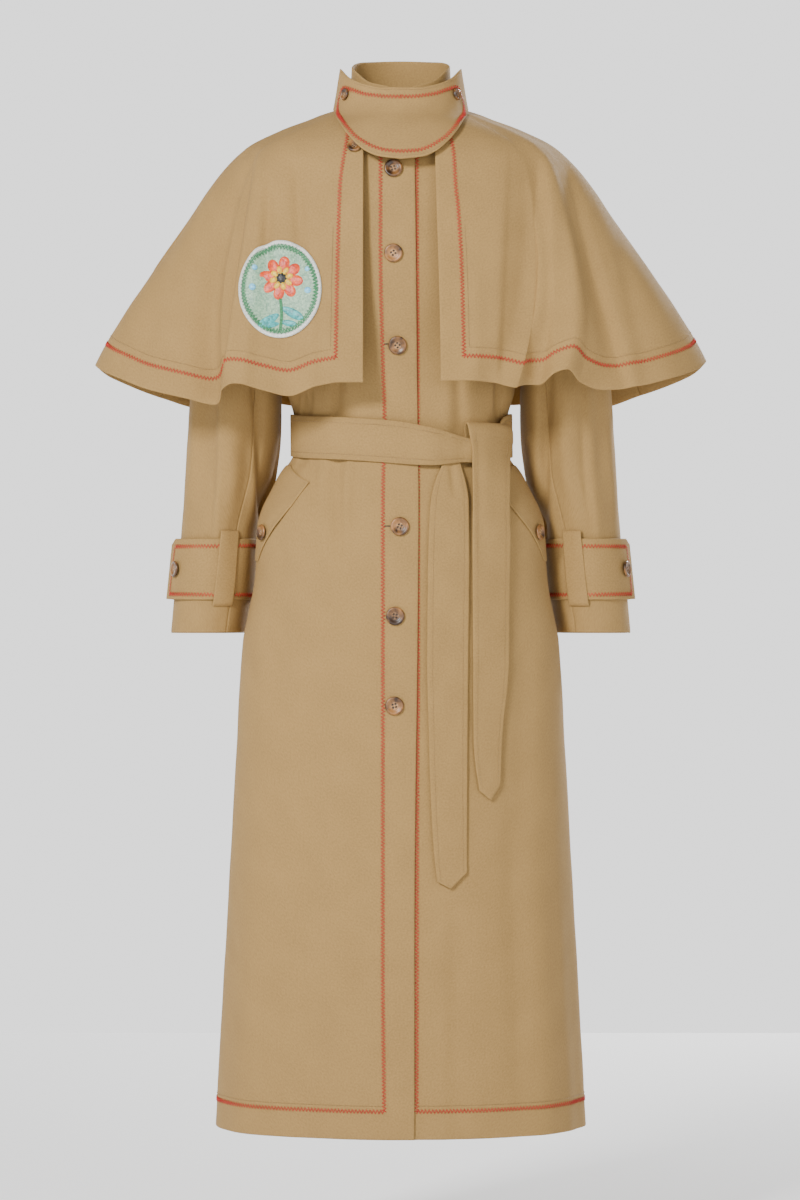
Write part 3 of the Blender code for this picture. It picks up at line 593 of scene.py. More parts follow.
CAPE_CREASES_L = table(
    "x_top z_top x_low z_low depth left right",
    (130, -38, 111, -430, 3.0, 15, 4),
    (168, -46, 163, -430, -11.0, 36, 8),
    (183, -60, 188, -420, 4.0, 8, 11),
    (200, -50, 288, -400, -8.5, 19, 7),
    (262, -110, 312, -400, -3.0, 12, 16),
    (92, -160, 90, -400, 2.0, 12, 9),
)
CAPE_CREASES_BACK = table(
    "x_top z_top x_low z_low depth left right",
    (-150, -70, -205, -420, -5.5, 7, 17),
    (-98, -80, -120, -430, -4.0, 12, 7),
    (-30, -60, -44, -420, -4.5, 8, 14),
    (44, -75, 58, -430, -4.0, 11, 8),
    (104, -70, 140, -420, -5.5, 7, 15),
    (160, -80, 218, -430, -3.5, 12, 9),
)
SLEEVE_CREASES_R = table(
    "x_top z_top x_low z_low depth left right",
    (231, -300, 237, -560, -8.0, 5, 17),
    (182, -290, 166, -575, -10.0, 20, 5),
    (212, -345, 205, -520, 2.5, 10, 10),
    (222, -618, 224, -642, -1.2, 6, 6),
)
SLEEVE_CREASES_L = table(
    "x_top z_top x_low z_low depth left right",
    (222, -300, 238, -560, -8.0, 17, 5),
    (181, -290, 175, -575, -8.0, 7, 6),
    (200, -330, 204, -520, 2.5, 10, 10),
    (214, -616, 216, -642, -1.2, 6, 6),
)
SLEEVE_BACK = table(
    "x_top z_top x_low z_low depth left right",
    (236, -280, 232, -520, -4.5, 13, 6),
    (184, -320, 190, -540, -4.0, 6, 14),
    (210, -250, 214, -430, -3.0, 9, 9),
)
BELT_CREASES = table("x_top z_top x_low z_low depth left right", (54, -395, 57, -432, -2.5, 5, 5))
END_A_CREASES = table("x_top z_top x_low z_low depth left right", (92, -395, 98, -560, -1.5, 5, 7))
END_B_CREASES = table("x_top z_top x_low z_low depth left right", (60, -430, 66, -480, -2.0, 4, 5))

# Each sheet's flat size, flat area in square metres, how it is held and what it rests on or hangs from
SIDE_SHEETS = (
    ("sleeve_top", (0.30, 0.61), 0.137, "hung", "back_cloth"),
    ("sleeve_under", (0.147, 0.49), 0.0585, "hung", "back_cloth"),
    ("cuff_strap", (0.395, 0.077), 0.0293, "stretched", "sleeve_top"),
    ("cuff_loop", (0.025, 0.095), 0.00235, "laid", "cuff_strap"),
    ("pocket_welt", (0.083, 0.12), 0.0073, "laid", "front"),
)

# Each button's width, its turn and the number that shifts its marbling
BUTTONS = {
    "front": (22.5, 17, 0),
    "tab": (15.0, 30, 10),
    "cuff": (20.0, 20, 18),
    "pocket": (20.0, 70, 22),
    "cape": (18.0, 50, 15),
}
MARBLE_SHIFT = 0.05
# The height of the face at shares of the radius, and the holes as shares of the width
BUTTON_FACE = ((0, 0.5, 0.62, 0.74, 0.82, 0.9, 0.96, 1.0), (2.1, 2.15, 2.7, 3.4, 3.6, 3.45, 2.9, 2.1))
BUTTON_FLOOR = (0.05, 0.42, 15)
BUTTON_RIM = (0.5, 0.58, 0.66, 0.74, 0.8, 0.86, 0.91, 0.95, 0.98, 1.0)
BUTTON_BACK = ((0.985, 0.93, 0.8, 0.62), (1.5, 0.9, 0.4, 0.0))
HOLE_STEP = 0.085
HOLE_RADIUS = 0.056
HOLE_DEPTH = 1.5
PALE_CENTRE = 0.4

TAN_DARK = (0.248, 0.146, 0.043)
TAN_LIGHT = (0.334, 0.200, 0.062)
HORN_DARK = (0.030, 0.013, 0.005)
HORN_LIGHT = (0.29, 0.125, 0.032)
HORN_PALE = ((0.15, 0.075, 0.030), (0.40, 0.22, 0.09))
THREAD_COLOURS = (
    ("thread", (0.36, 0.010, 0.005), (0.52, 0.022, 0.011)),
    ("plain_thread", (0.24, 0.145, 0.05), (0.34, 0.21, 0.08)),
    # Painted shade: the near-black of the buttonhole slits and of the buttons' holes.
    ("painted_hole_shade", (0.03, 0.018, 0.012), (0.07, 0.045, 0.03)),
    ("badge_edge", (0.62, 0.62, 0.56), (0.85, 0.85, 0.80)),
    ("badge_green", (0.02, 0.14, 0.05), (0.06, 0.30, 0.12)),
)
# The badge's colours, dark and light, and how many stitches of each there are to a metre
BADGE_COLOURS = (
    ("badge_ground", (0.13, 0.25, 0.16), (0.28, 0.43, 0.27), 500.0),
    ("badge_orange", (0.42, 0.015, 0.002), (0.72, 0.08, 0.004), 330.0),
    ("badge_yellow", (0.50, 0.28, 0.012), (0.78, 0.50, 0.03), 420.0),
    ("badge_black", (0.004, 0.004, 0.004), (0.03, 0.03, 0.03), 420.0),
    ("badge_teal", (0.012, 0.17, 0.17), (0.05, 0.40, 0.40), 360.0),
    ("badge_blue", (0.08, 0.34, 0.55), (0.25, 0.62, 0.80), 420.0),
)
SHAPE_COLOURS = {
    "badge_ground": "badge_ground",
    "badge_petals": "badge_orange",
    "badge_inner_petals": "badge_yellow",
    "badge_heart": "badge_black",
    "badge_leaves": "badge_teal",
    "badge_buds": "badge_blue",
}
TWILL_ACROSS = 5200.0
TWILL_ALONG = 9000.0

CAMERA_PLACE = (-0.001, -5.0, -0.604)
CAMERA_LENS = 120.97
SENSOR = 36.0
LIGHT_TARGET = (0.0, 0.0, -0.6)
FLOOR_Z = -1.42
FLOOR_HALF = 2.6
FLOOR_COLOUR = (0.96, 0.96, 0.96)
# The studio's walls and the ground past its floor are bright, and its ceiling gives less light.
WALL_LIGHT = 1.7
CEILING_LIGHT = 0.32
WALL_TOP = (0.16, 0.34)
LIGHTS = (
    ("key", (-2.4, -4.3, 1.8), 1.0, 370.0),
    ("fill", (2.6, -4.2, 0.2), 1.8, 40.0),
    ("back_light", (2.4, 4.3, 1.8), 1.0, 370.0),
    ("back_fill", (-2.6, 4.2, 0.2), 1.8, 40.0),
)


def smooth(at, xs, ys):
    """Values at `at` on a smooth curve through the points, which never overshoots them."""
    order = np.argsort(xs)
    xs, ys = xs[order], ys[order]
    step = np.diff(xs)
    slope = np.diff(ys) / step
    product = slope[1:] * slope[:-1]
    total = np.where(product > 0, slope[1:] + slope[:-1], 1)
    middle = np.where(product > 0, 2 * product / total, 0)
    tangent = np.concatenate([slope[:1], middle, slope[-1:]])
    at = np.clip(at, xs[0], xs[-1])
    i = np.clip(np.searchsorted(xs, at, side="right") - 1, 0, len(step) - 1)
    t = (at - xs[i]) / step[i]
    rise = tangent[i] * (1 - t) - tangent[i + 1] * t
    share = t**2 * (3 - 2 * t)
    return ys[i] * (1 - share) + ys[i + 1] * share + step[i] * t * (1 - t) * rise


def column(rows, name, z):
    return smooth(z, rows["z"], rows[name])


def ease(t):
    t = np.clip(t, 0, 1)
    return t * t * (3 - 2 * t)


def apart(angle, middle):
    """How far an angle is from another, from -180 to 180."""
    return (angle - middle + 180) % 360 - 180


def fold(across, along, start, most, end):
    """A soft trough's share of its depth: across it, from -1 to 1, and along it."""
    shape = np.cos(np.clip(across, -1, 1) * math.pi / 2) ** 2
    before = ease((along - start) / (most - start))
    after = ease((along - end) / (most - end))
    return shape * np.minimum(before, after)


def ring(rows, angle, z, relief):
    """A point of a body or cape ring, which tilts down to the front at the neck."""
    turn = np.radians(angle)
    depth = np.where(np.cos(turn) > 0, column(rows, "front", z), column(rows, "back", z))
    x = (column(rows, "half_width", z) + relief) * np.sin(turn)
    y = -(depth + relief) * np.cos(turn)
    return x, y, z - column(rows, "tilt", z) * np.cos(turn)


def body_folds(angle, z):
    relief = np.zeros(np.broadcast(angle, z).shape)
    for middle, z_from, z_most, z_to, depth, half_angle in zip(*BODY_FOLDS.values()):
        relief += depth * fold(apart(angle, middle) / half_angle, z, z_from, z_most, z_to)
    return relief


def body(angle, z):
    """A point of the coat's outer face."""
    return np.stack(ring(BODY, angle, z, body_folds(angle, z)), -1)


def plain_body(angle, z):
    """The coat's outer face without its folds, which the belt spans."""
    return np.stack(ring(BODY, angle, z, 0), -1)


def side_angle(z):
    """Where a front panel ends: at the shoulder seam, the armhole or the side seam."""
    across = np.clip((z - ARM_MIDDLE) / ARM_HALF, -1, 1)
    return 90 - ARM_ANGLE * np.sqrt(1 - across**2)


def armhole(angle):
    """A point of the armhole's edge: 0 at the shoulder, 90 in front and 180 at the underarm."""
    corners = np.floor(angle / ARM_STEP)
    share = (angle / ARM_STEP - corners)[..., None]
    ends = []
    for corner in (corners, corners + 1):
        turn = np.radians(corner * ARM_STEP)
        ends.append(body(90 - ARM_ANGLE * np.sin(turn), ARM_MIDDLE + ARM_HALF * np.cos(turn)))
    edge = ends[0] * (1 - share) + ends[1] * share
    inwards = body(np.array(90.0), np.array(ARM_MIDDLE)) - edge
    return edge + ARM_GAP * inwards / np.linalg.norm(inwards, axis=-1, keepdims=True)


def sleeve_axis(row):
    """The middle of the sleeve, half its width as a vector, and its half depth."""
    at = {name: smooth(row, np.arange(len(values)), values) for name, values in SLEEVE.items()}
    outer = np.stack([at["outer_x"], at["y"], at["outer_z"]], -1)
    inner = np.stack([at["inner_x"], at["y"], at["inner_z"]], -1)
    return (outer + inner) / 2, (outer - inner) / 2, at["half_depth"]


def sleeve(angle, row):
    """A point of the left sleeve's outer face: 0 outside, 90 in front, 180 against the body."""
    angle, row = np.broadcast_arrays(np.asarray(angle, float), np.asarray(row, float))
    relief = np.zeros(angle.shape)
    for top, cuff, start, most, end, depth, half_angle in zip(*SLEEVE_FOLDS.values()):
        middle = top + (cuff - top) * row / SLEEVE_LAST
        relief += depth * fold(apart(angle, middle) / half_angle, row, start, most, end)
    middle, half_width, half_depth = sleeve_axis(row)
    turn = np.radians(angle)[..., None]
    size = 1 + (relief / half_depth)[..., None]
    forwards = np.array([0.0, -1.0, 0.0]) * half_depth[..., None]
    tube = middle + size * (half_width * np.cos(turn) + forwards * np.sin(turn))
    share = ease(row / SLEEVE_BLEND)[..., None]
    return armhole(angle % 360) * (1 - share) + tube * share


def sleeve_row(z):
    """The sleeve's row at a height near the cuff, where its rings are level."""
    return np.interp(-np.asarray(z, float), -SLEEVE["outer_z"], np.arange(len(SLEEVE["outer_z"])))


def flutes(rows, name, place):
    return smooth(place, np.arange(len(rows[name])), rows[name])


def cape(rows, edge_x, edge_flare, seam):
    """The surface of one cape piece, by its place along the table of flutes and by its level."""
    first = rows["angle_shoulder"][0]

    def edge_angle(z):
        if first:
            return np.full(np.shape(z), first)
        x = edge_x + edge_flare * ease(z / CAPE["z"][-1])
        return np.degrees(np.arcsin(x / column(CAPE, "half_width", z)))

    def surface(place, z):
        place, z = np.broadcast_arrays(np.asarray(place, float), np.asarray(z, float))
        down = np.clip((FLUTE_START - z) / (FLUTE_START - CAPE["z"][-1]), 0, 1)
        shares = []
        for name, level in (("angle_shoulder", FLUTE_START), ("angle_hem", CAPE["z"][-1])):
            edge = edge_angle(np.array(float(level)))
            angles = rows[name].copy()
            angles[0] = edge
            shares.append((smooth(place, np.arange(len(angles)), angles) - edge) / (seam - edge))
        share = shares[0] + (shares[1] - shares[0]) * down
        angle = edge_angle(z) + (seam - edge_angle(z)) * share
        relief = flutes(rows, "relief", place) * down**1.2
        x, y, height = ring(CAPE, angle, z, relief)
        stretch = (CAPE["z"][0] - flutes(rows, "hem_z", place)) / (CAPE["z"][0] - CAPE["z"][-1])
        return np.stack([x, y, CAPE["z"][0] + (height - CAPE["z"][0]) * stretch], -1)

    return surface


CAPE_R = cape(CAPE_FLUTES_R, CAPE_EDGE_R, 0.0, CAPE_SEAM)
CAPE_L = cape(CAPE_FLUTES_L, CAPE_EDGE_L, CAPE_EDGE_FLARE_L, CAPE_SEAM)
CAPE_BACK = cape(CAPE_FLUTES_BACK, 0.0, 0.0, 360 - CAPE_SEAM)


def collar(angle, share):
    """The stand collar, from the neck seam to its rim. It leans in a little."""
    turn = np.radians(angle)
    forward = np.cos(turn) > 0
    foot = np.stack(ring(BODY, angle, np.full(np.shape(angle), BODY["z"][0]), 0), -1)
    foot[..., 2] += TRIM_GAP
    depth = np.where(forward, COLLAR_TOP_FRONT, COLLAR_TOP_BACK)
    rim_z = smooth(angle, COLLAR["angle"], COLLAR["rim_z"])
    rim = np.stack([COLLAR_TOP_HALF_WIDTH * np.sin(turn), -depth * np.cos(turn), rim_z], -1)
    return foot + (rim - foot) * share[..., None]


def tab(across, down):
    """The throat tab. `across` runs from -1 to 1, and `down` from its top edge to its lower edge."""
    side = np.abs(across)
    ends = []
    for outline in (TAB_TOP, TAB_BOTTOM):
        ends.append([smooth(side, outline["share"], outline[name]) for name in ("x", "z")])
    x = ends[0][0] + (ends[1][0] - ends[0][0]) * down
    z = ends[0][1] + (ends[1][1] - ends[0][1]) * down
    front, half_width = column(TAB, "front", z), column(TAB, "half_width", z)
    round_to_side = np.sqrt(np.maximum(1 - (x / half_width) ** 2, 0.01))
    return np.stack([np.sign(across) * x, -front * round_to_side, z], -1)


def normals(surface, u, v, step=0.02):
    """Unit normals of a surface that takes two coordinates."""
    along_u = surface(u + step, v) - surface(u - step, v)
    along_v = surface(u, v + step) - surface(u, v - step)
    found = np.cross(along_u, along_v)
    return found / np.linalg.norm(found, axis=-1, keepdims=True)


def locate(surface, x, z, start):
    """The surface's own coordinates where it passes through x and z, by Newton's method."""
    u, v = np.full(np.shape(x), float(start[0])), np.full(np.shape(x), float(start[1]))
    most_u, most_v = LOCATE_MOST
    for _ in range(LOCATE_TURNS):
        here = surface(u, v)
        along_u = (surface(u + LOCATE_STEP, v) - here) / LOCATE_STEP
        along_v = (surface(u, v + LOCATE_STEP) - here) / LOCATE_STEP
        miss_x, miss_z = x - here[..., 0], z - here[..., 2]
        size = along_u[..., 0] * along_v[..., 2] - along_u[..., 2] * along_v[..., 0]
        change_u = (miss_x * along_v[..., 2] - miss_z * along_v[..., 0]) / size
        change_v = (miss_z * along_u[..., 0] - miss_x * along_u[..., 2]) / size
        u = u + np.clip(change_u, -most_u, most_u)
        v = v + np.clip(change_v, -most_v, most_v)
    return u, v


def outward(points, found, middle):
    """Turns normals, all of them or none, to point away from the middle."""
    return found * np.sign(np.sum((points - middle) * found))


def mirrored(values):
    return values * np.array([-1.0, 1.0, 1.0])


# Cloth pieces
def creased(base, facing, rows, front=True):
    """How far soft creases lift each point. Each row is a line in x and z, on the front or the back."""
    relief = np.zeros(base.shape[:-1])
    for x_top, z_top, x_low, z_low, depth, left, right in zip(*rows.values()):
        along = (base[..., 2] - z_top) / (z_low - z_top)
        across = base[..., 0] - (x_top + (x_low - x_top) * along)
        across = np.where(across < 0, across / left, across / right)
        relief += depth * np.exp(-(across**2)) * np.sin(math.pi * np.clip(along, 0, 1)) ** CREASE_TAPER
    return relief * ((facing[..., 1] < 0) if front else (facing[..., 1] > 0))


def uneven(base, kind):
    """The slight unevenness that all cloth has."""
    size, wave = UNEVEN[kind]
    x, y, z = (base[..., k] / wave for k in range(3))
    first = np.sin(x * 1.7 + 0.9 * np.sin(z * 1.3 + 1.0)) * np.sin(z * 0.8 + 1.3 * np.sin(y * 1.1 + 2.0))
    second = np.sin(x * 4.1 + z * 1.1 + 2.0) * np.sin(z * 2.3 - y * 3.7 + 0.5)
    return size * (first + 0.4 * second)


def arc(points, axis):
    step = np.linalg.norm(np.diff(points, axis=axis), axis=-1)
    start = np.zeros_like(np.take(step, [0], axis))
    return np.concatenate([start, np.cumsum(step, axis=axis)], axis=axis)


def rims(shares, edge):
    """The same rising steps with one more just inside each end, where the cloth's rim rounds off."""
    span = shares[-1] - shares[0]
    inner = shares[(shares > shares[0] + 1.5 * edge * span) & (shares < shares[-1] - 1.5 * edge * span)]
    ends = [shares[0], shares[0] + edge * span], [shares[-1] - edge * span, shares[-1]]
    return np.concatenate([ends[0], inner, ends[1]])


def stepped(kind, first=0, last=1):
    """Steps from one value up to another, as fine as the table says."""
    count, edge = STEPS[kind]
    return rims(np.linspace(first, last, count), edge)


def traced(kind, first, last):
    """Even steps along a line of stitches."""
    return np.linspace(first, last, TRACED[kind])


def meshed(name, corners, faces, material, flat=None):
    """A smooth mesh. Its corners are in millimetres, and its flat layout, where it has one, in metres."""
    mesh = bpy.data.meshes.new(name)
    mesh.from_pydata((corners * MM).tolist(), [], faces)
    if flat is not None:
        layer = mesh.uv_layers.new(name="UVMap")
        loops = np.zeros(len(mesh.loops), int)
        mesh.loops.foreach_get("vertex_index", loops)
        layer.data.foreach_set("uv", flat[loops].ravel())
    mesh.shade_smooth()
    mesh.materials.append(MATERIALS[material])
    return mesh


def cloth(node, points, facing, wall=WALL, stand_off=0.0):
    """A thin shell of cloth on its solid's form, with rounded rims, whose outer face stands off."""
    rows, columns = points.shape[:2]
    outer = points + facing * np.broadcast_to(np.asarray(stand_off, float), (rows, columns))[..., None]
    thick = np.full((rows, columns), wall)
    thick[[0, -1], :] = thick[:, [0, -1]] = RIM_WALL * wall
    inset = (wall - thick)[..., None] / 2
    inner = outer - facing * (wall - inset)
    outer = outer - facing * inset
    corners = np.concatenate([outer.reshape(-1, 3), inner.reshape(-1, 3)])
    index = np.arange(rows * columns).reshape(rows, columns)
    quads = np.stack([index[:-1, :-1], index[:-1, 1:], index[1:, 1:], index[1:, :-1]], -1).reshape(-1, 4)
    rim = np.concatenate([index[0], index[1:, -1], index[-1, -2::-1], index[-2:0:-1, 0]])
    after = np.roll(rim, -1)
    back = quads[:, ::-1] + rows * columns
    sides = np.stack([after, rim, rim + rows * columns, after + rows * columns], -1)
    faces = np.concatenate([quads, back, sides])
    first = corners[faces[:, :3]]
    if np.einsum("ij,ij->", first[:, 0], np.cross(first[:, 1], first[:, 2])) < 0:
        faces = faces[:, ::-1]
    across, along = arc(points, 1) * MM, arc(points, 0) * MM
    flat = np.tile(np.stack([across, -along], -1).reshape(-1, 2), (2, 1))
    mesh = meshed(f"{node}_cloth", corners, faces.tolist(), "gabardine", flat)
    place(mesh, "gabardine", node)


def place(mesh, slot, node=None, matrix=None):
    """An object of a mesh, which rides on the coat and may stand for one of its solids."""
    made = bpy.data.objects.new(mesh.name, mesh)
    if matrix:
        made.matrix_world = matrix
    bpy.context.scene.collection.objects.link(made)
    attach(made, "root")
    if node:
        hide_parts(node)


def both(points, facing, side):
    """The same points for the left side, or mirrored for the right."""
    if side == "R":
        return mirrored(points), mirrored(facing)
    return points, facing


# Thread
def evenly(points, facing, step):
    """Points at even steps along a line, and the facing there."""
    along = np.concatenate([[0], np.cumsum(np.linalg.norm(np.diff(points, axis=0), axis=1))])
    count = max(2, int(round(along[-1] / step)) + 1)
    at = np.linspace(0, along[-1], count)
    line = np.stack([np.interp(at, along, points[:, k]) for k in range(3)], -1)
    turned = np.stack([np.interp(at, along, facing[:, k]) for k in range(3)], -1)
    turned /= np.linalg.norm(turned, axis=-1, keepdims=True)
    ahead = np.gradient(line, axis=0)
    side = np.cross(turned, ahead)
    side /= np.linalg.norm(side, axis=-1, keepdims=True)
    return line, turned, side


def tubes(lines, width, height):
    """Corners and faces of flat four-sided tubes along lines of points with their facing."""
    corners, faces, total = [], [], 0
    for points, facing in lines:
        ahead = np.gradient(points, axis=0)
        side = np.cross(facing, ahead)
        side /= np.maximum(np.linalg.norm(side, axis=-1, keepdims=True), 1e-9)
        offsets = (side * width, facing * height, -side * width, -facing * height)
        ring = np.stack([points + offset for offset in offsets], 1)
        count = len(points)
        corners.append(ring.reshape(-1, 3))
        base = total + 4 * np.arange(count - 1)[:, None]
        k = np.arange(4)[None]
        n = (k + 1) % 4
        faces.append(np.stack([base + k, base + n, base + n + 4, base + k + 4], -1).reshape(-1, 4))
        end = total + 4 * (count - 1)
        faces.append(np.array([[total + 3, total + 2, total + 1, total], [end, end + 1, end + 2, end + 3]]))
        total += 4 * count
    return np.concatenate(corners), np.concatenate(faces)


def thread(name, lines, material, size=None):
    slot, *usual = THREADS[material]
    corners, faces = tubes(lines, *(size or usual))
    place(meshed(name, corners, faces.tolist(), material), slot)


def zigzag(points, facing):
    """A zigzag stitch along a line, as one thread: the needle goes to each side in turn."""
    line, turned, side = evenly(points, facing, ZIGZAG_PERIOD / 2)
    sway = np.where(np.arange(len(line)) % 2, 0.5, -0.5) * ZIGZAG_WIDTH
    middle = (line[1:] + line[:-1]) / 2 + (turned[1:] + turned[:-1]) / 2 * THREAD_ARCH
    ends = line + side * sway[:, None]
    path = np.empty((2 * len(line) - 1, 3))
    path[0::2] = ends
    path[1::2] = middle
    normal = np.empty_like(path)
    normal[0::2] = turned
    normal[1::2] = (turned[1:] + turned[:-1]) / 2
    return [(path, normal)]


def running(points, facing):
    """Plain stitches along a line, each one a short thread that dips at both ends."""
    line, turned, _ = evenly(points, facing, STITCH / 4)
    lift = np.array(STITCH_HEIGHTS)[:, None]
    made = []
    for k in range(0, len(line) - 4, 4):
        made.append((line[k : k + 4] + turned[k : k + 4] * lift, turned[k : k + 4]))
    return made


def sewn(name, zigzags, plain):
    """The zigzags and plain stitches of one part of the coat, as two pieces."""
    thread(f"{name}_zigzag", zigzags, "thread")
    thread(f"{name}_stitching", plain, "plain_thread")


# The pieces
def lifted(surface, u, v, middle, step=0.02):
    """Points of a surface with the cloth's unevenness, and its outward normals."""
    base = surface(u, v)
    facing = outward(base, normals(surface, u, v, step), middle)
    return base + facing * uneven(base, "trim")[..., None], facing


AXIS = np.array([0.0, 0.0, ARM_MIDDLE])


def coat(angle, z):
    """The coat's outer face with its creases, and the facing there."""
    base = body(angle, z)
    facing = outward(base, normals(body, angle, z), AXIS)
    relief = uneven(base, "coat") + creased(base, facing, BODY_CREASES)
    relief = relief + creased(base, facing, BACK_CREASES, front=False)
    return base + facing * relief[..., None], facing


def coat_rows():
    """Heights of the coat's rows: closest at the armhole, the belt and the hem's stitching."""
    arm = ARM_MIDDLE + ARM_HALF * np.cos(np.radians(np.arange(0, 181, ARM_TURN)))
    top = np.linspace(BODY["z"][0], arm[0], NECK_ROWS)[:-1]
    waist = np.arange(arm[-1] - 5, WAIST_END, -WAIST_STEP)
    skirt = np.linspace(waist[-1] - 7, HEM_STITCH + 12, SKIRT_ROWS)
    stitched = HEM_STITCH + np.array([8, 7, 6, 5, 2, 0, -2, -6])
    hem = np.linspace(HEM_STITCH - 11, BODY["z"][-1] + HEM_RIM, 6)
    return np.concatenate([top, arm, waist, skirt, stitched, hem, BODY["z"][-1:]])


def front_angle(z, x):
    """The angle on the coat at heights z and distances x from its centre."""
    return np.degrees(np.arcsin(np.clip(x / column(BODY, "half_width", z), -1, 1)))


def panel(z, first_x, last):
    """Angles and heights of a front panel, from columns at its edge to its last angle."""
    near = front_angle(z[:, None], first_x)
    shares = np.concatenate([np.linspace(0, 1, PANEL_COLUMNS)[1:-1], [PANEL_RIM, 1]])
    angle = np.hstack([near, near[:, -1:] + (last[:, None] - near[:, -1:]) * shares])
    return angle, np.broadcast_to(z[:, None], angle.shape)


def under_front(points):
    """How far the left front is pushed in, so that it lies under the right one."""
    return -(WALL + LAP_GAP) * (1 - ease((points[..., 0] - UNDERLAP) / UNDERLAP_RISE))


def build_coat():
    z = coat_rows()
    last = side_angle(z) - SEAM_ANGLE
    edge = smooth(z, EDGE["z"], EDGE["x"])[:, None]
    points, facing = coat(*panel(z, edge - np.array(RIGHT_STEPS), -last))
    cloth("front_right", points, facing)
    points, facing = coat(*panel(z, np.array(LEFT_STEPS) - UNDERLAP + 0 * edge, last))
    cloth("front_left", points, facing, stand_off=under_front(points))
    first = 180 - side_angle(z) + SEAM_ANGLE
    angle = first[:, None] + (360 - 2 * first)[:, None] * stepped("back_round")
    points, facing = coat(angle, np.broadcast_to(z[:, None], angle.shape))
    cloth("back", points, facing)


def arm(angle, row, creases):
    """The sleeve's points and facing, with its creases, before it is mirrored to the right."""
    inside = np.clip(row, 0.05, SLEEVE_LAST - 0.05)
    base = sleeve(angle, row)
    facing = outward(base, normals(sleeve, angle, inside), sleeve_axis(row)[0])
    relief = creased(base, facing, creases) + creased(base, facing, SLEEVE_BACK, front=False)
    relief = (relief + uneven(base, "sleeve")) * ease(row / 2)
    return base + facing * relief[..., None], facing


def build_sleeves():
    rows = np.append(np.linspace(0, SLEEVE_LAST - 0.04, SLEEVE_ROWS), SLEEVE_LAST)
    gap = math.degrees(SLEEVE_SEAM_GAP / SLEEVE["half_depth"].mean())
    seams = (("sleeve_top", -SLEEVE_SEAM, SLEEVE_SEAM), ("sleeve_under", SLEEVE_SEAM, 360 - SLEEVE_SEAM))
    for name, first, last in seams:
        shares = rims(np.linspace(0, 1, int((last - first) / SLEEVE_TURN)), SLEEVE_RIM)
        angle, row = np.meshgrid(first + gap + (last - first - 2 * gap) * shares, rows)
        for side, creases in (("L", SLEEVE_CREASES_L), ("R", SLEEVE_CREASES_R)):
            points, facing = arm(angle, row, creases)
            cloth(f"{name}_{side}", *both(points, facing, side))


def on_sleeve(angle, z):
    """A point of the left sleeve's outer face at a height near the cuff, and the facing there."""
    row = sleeve_row(z)
    base = sleeve(angle, row)
    return base, outward(base, normals(sleeve, angle, row), sleeve_axis(row)[0])


def strap_point(angle, z, lift=0.0):
    base, facing = on_sleeve(angle, z)
    off = np.interp(angle, STRAP["angle"], STRAP["stand_off"]) + lift
    return base + facing * off[..., None], facing


def build_cuffs():
    turns = np.concatenate([np.linspace(30, 8, 6), np.arange(4, -345, -3.0), [-346, -349, -350]])
    angle, z = np.meshgrid(turns, CUFF_TOP + (CUFF_BOTTOM - CUFF_TOP) * np.array(FLAT_STEPS))
    tip = ease((-341 - angle) / 9) * np.clip(1 + (z - CUFF_TOP) / 30, 0, 1)
    points, facing = strap_point(angle, z - STRAP_TIP_DROP * tip)
    points = points + facing * uneven(points, "strap")[..., None]
    loop_angle, loop_z = np.meshgrid(
        LOOP_ANGLE + LOOP_HALF_ANGLE * stepped("loop_round", -1),
        -stepped("loop_down", -LOOP["z"][-1], -LOOP["z"][0]),
    )
    loop = on_sleeve(loop_angle, loop_z)
    off = smooth(loop_z, LOOP["z"], LOOP["stand_off"])
    high, low = CUFF_TOP - STRAP_MARGIN, CUFF_BOTTOM + STRAP_MARGIN
    tip_high = high - 3
    lines = (
        strap_line(np.arange(-20, -340, -2.0), high, tip_high),
        strap_line(traced("strap_end", -340, -340), tip_high, low),
        strap_line(np.arange(-340, -20, 2.0), low, low),
    )
    for side in "LR":
        cloth(f"cuff_strap_{side}", *both(points, facing, side), wall=TRIM_WALL)
        cloth(f"cuff_loop_{side}", *both(*loop, side), wall=TRIM_WALL, stand_off=off)
        seams = [stitch for line in lines for stitch in zigzag(*both(*line, side))]
        thread(f"cuff_zigzag_{side}", seams, "thread")


def strap_line(angles, z_first, z_last):
    z = np.linspace(z_first, z_last, len(angles))
    return strap_point(angles, z, THREAD_LIFT)


CAPES = {
    "cape_front_R": (CAPE_R, CAPE_FLUTES_R, CAPE_CREASES_R),
    "cape_front_L": (CAPE_L, CAPE_FLUTES_L, CAPE_CREASES_L),
    "cape_back": (CAPE_BACK, CAPE_FLUTES_BACK, None),
}


def caped(name, at, z):
    """A cape piece with its creases, by its place along its flutes and by its level."""
    surface, flute, creases = CAPES[name]
    last = len(flute["relief"]) - 1
    base = surface(at, z)
    inside = np.clip(at, 0.02, last - 0.02), np.clip(z, CAPE["z"][-1] + 0.02, CAPE["z"][0] - 0.02)
    facing = outward(base, normals(surface, *inside), np.array([0.0, 0.0, CAPE["z"][-1]]))
    relief = uneven(base, "cape") + creased(base, facing, CAPE_CREASES_BACK, front=False)
    # The hem's stitching draws it in a little.
    relief = relief - CAPE_DRAWN_IN * np.exp(-(((z - CAPE_STITCH) / CAPE_DRAWN_WIDTH) ** 2))
    if creases:
        relief = relief + creased(base, facing, creases)
    return base + facing * relief[..., None], facing


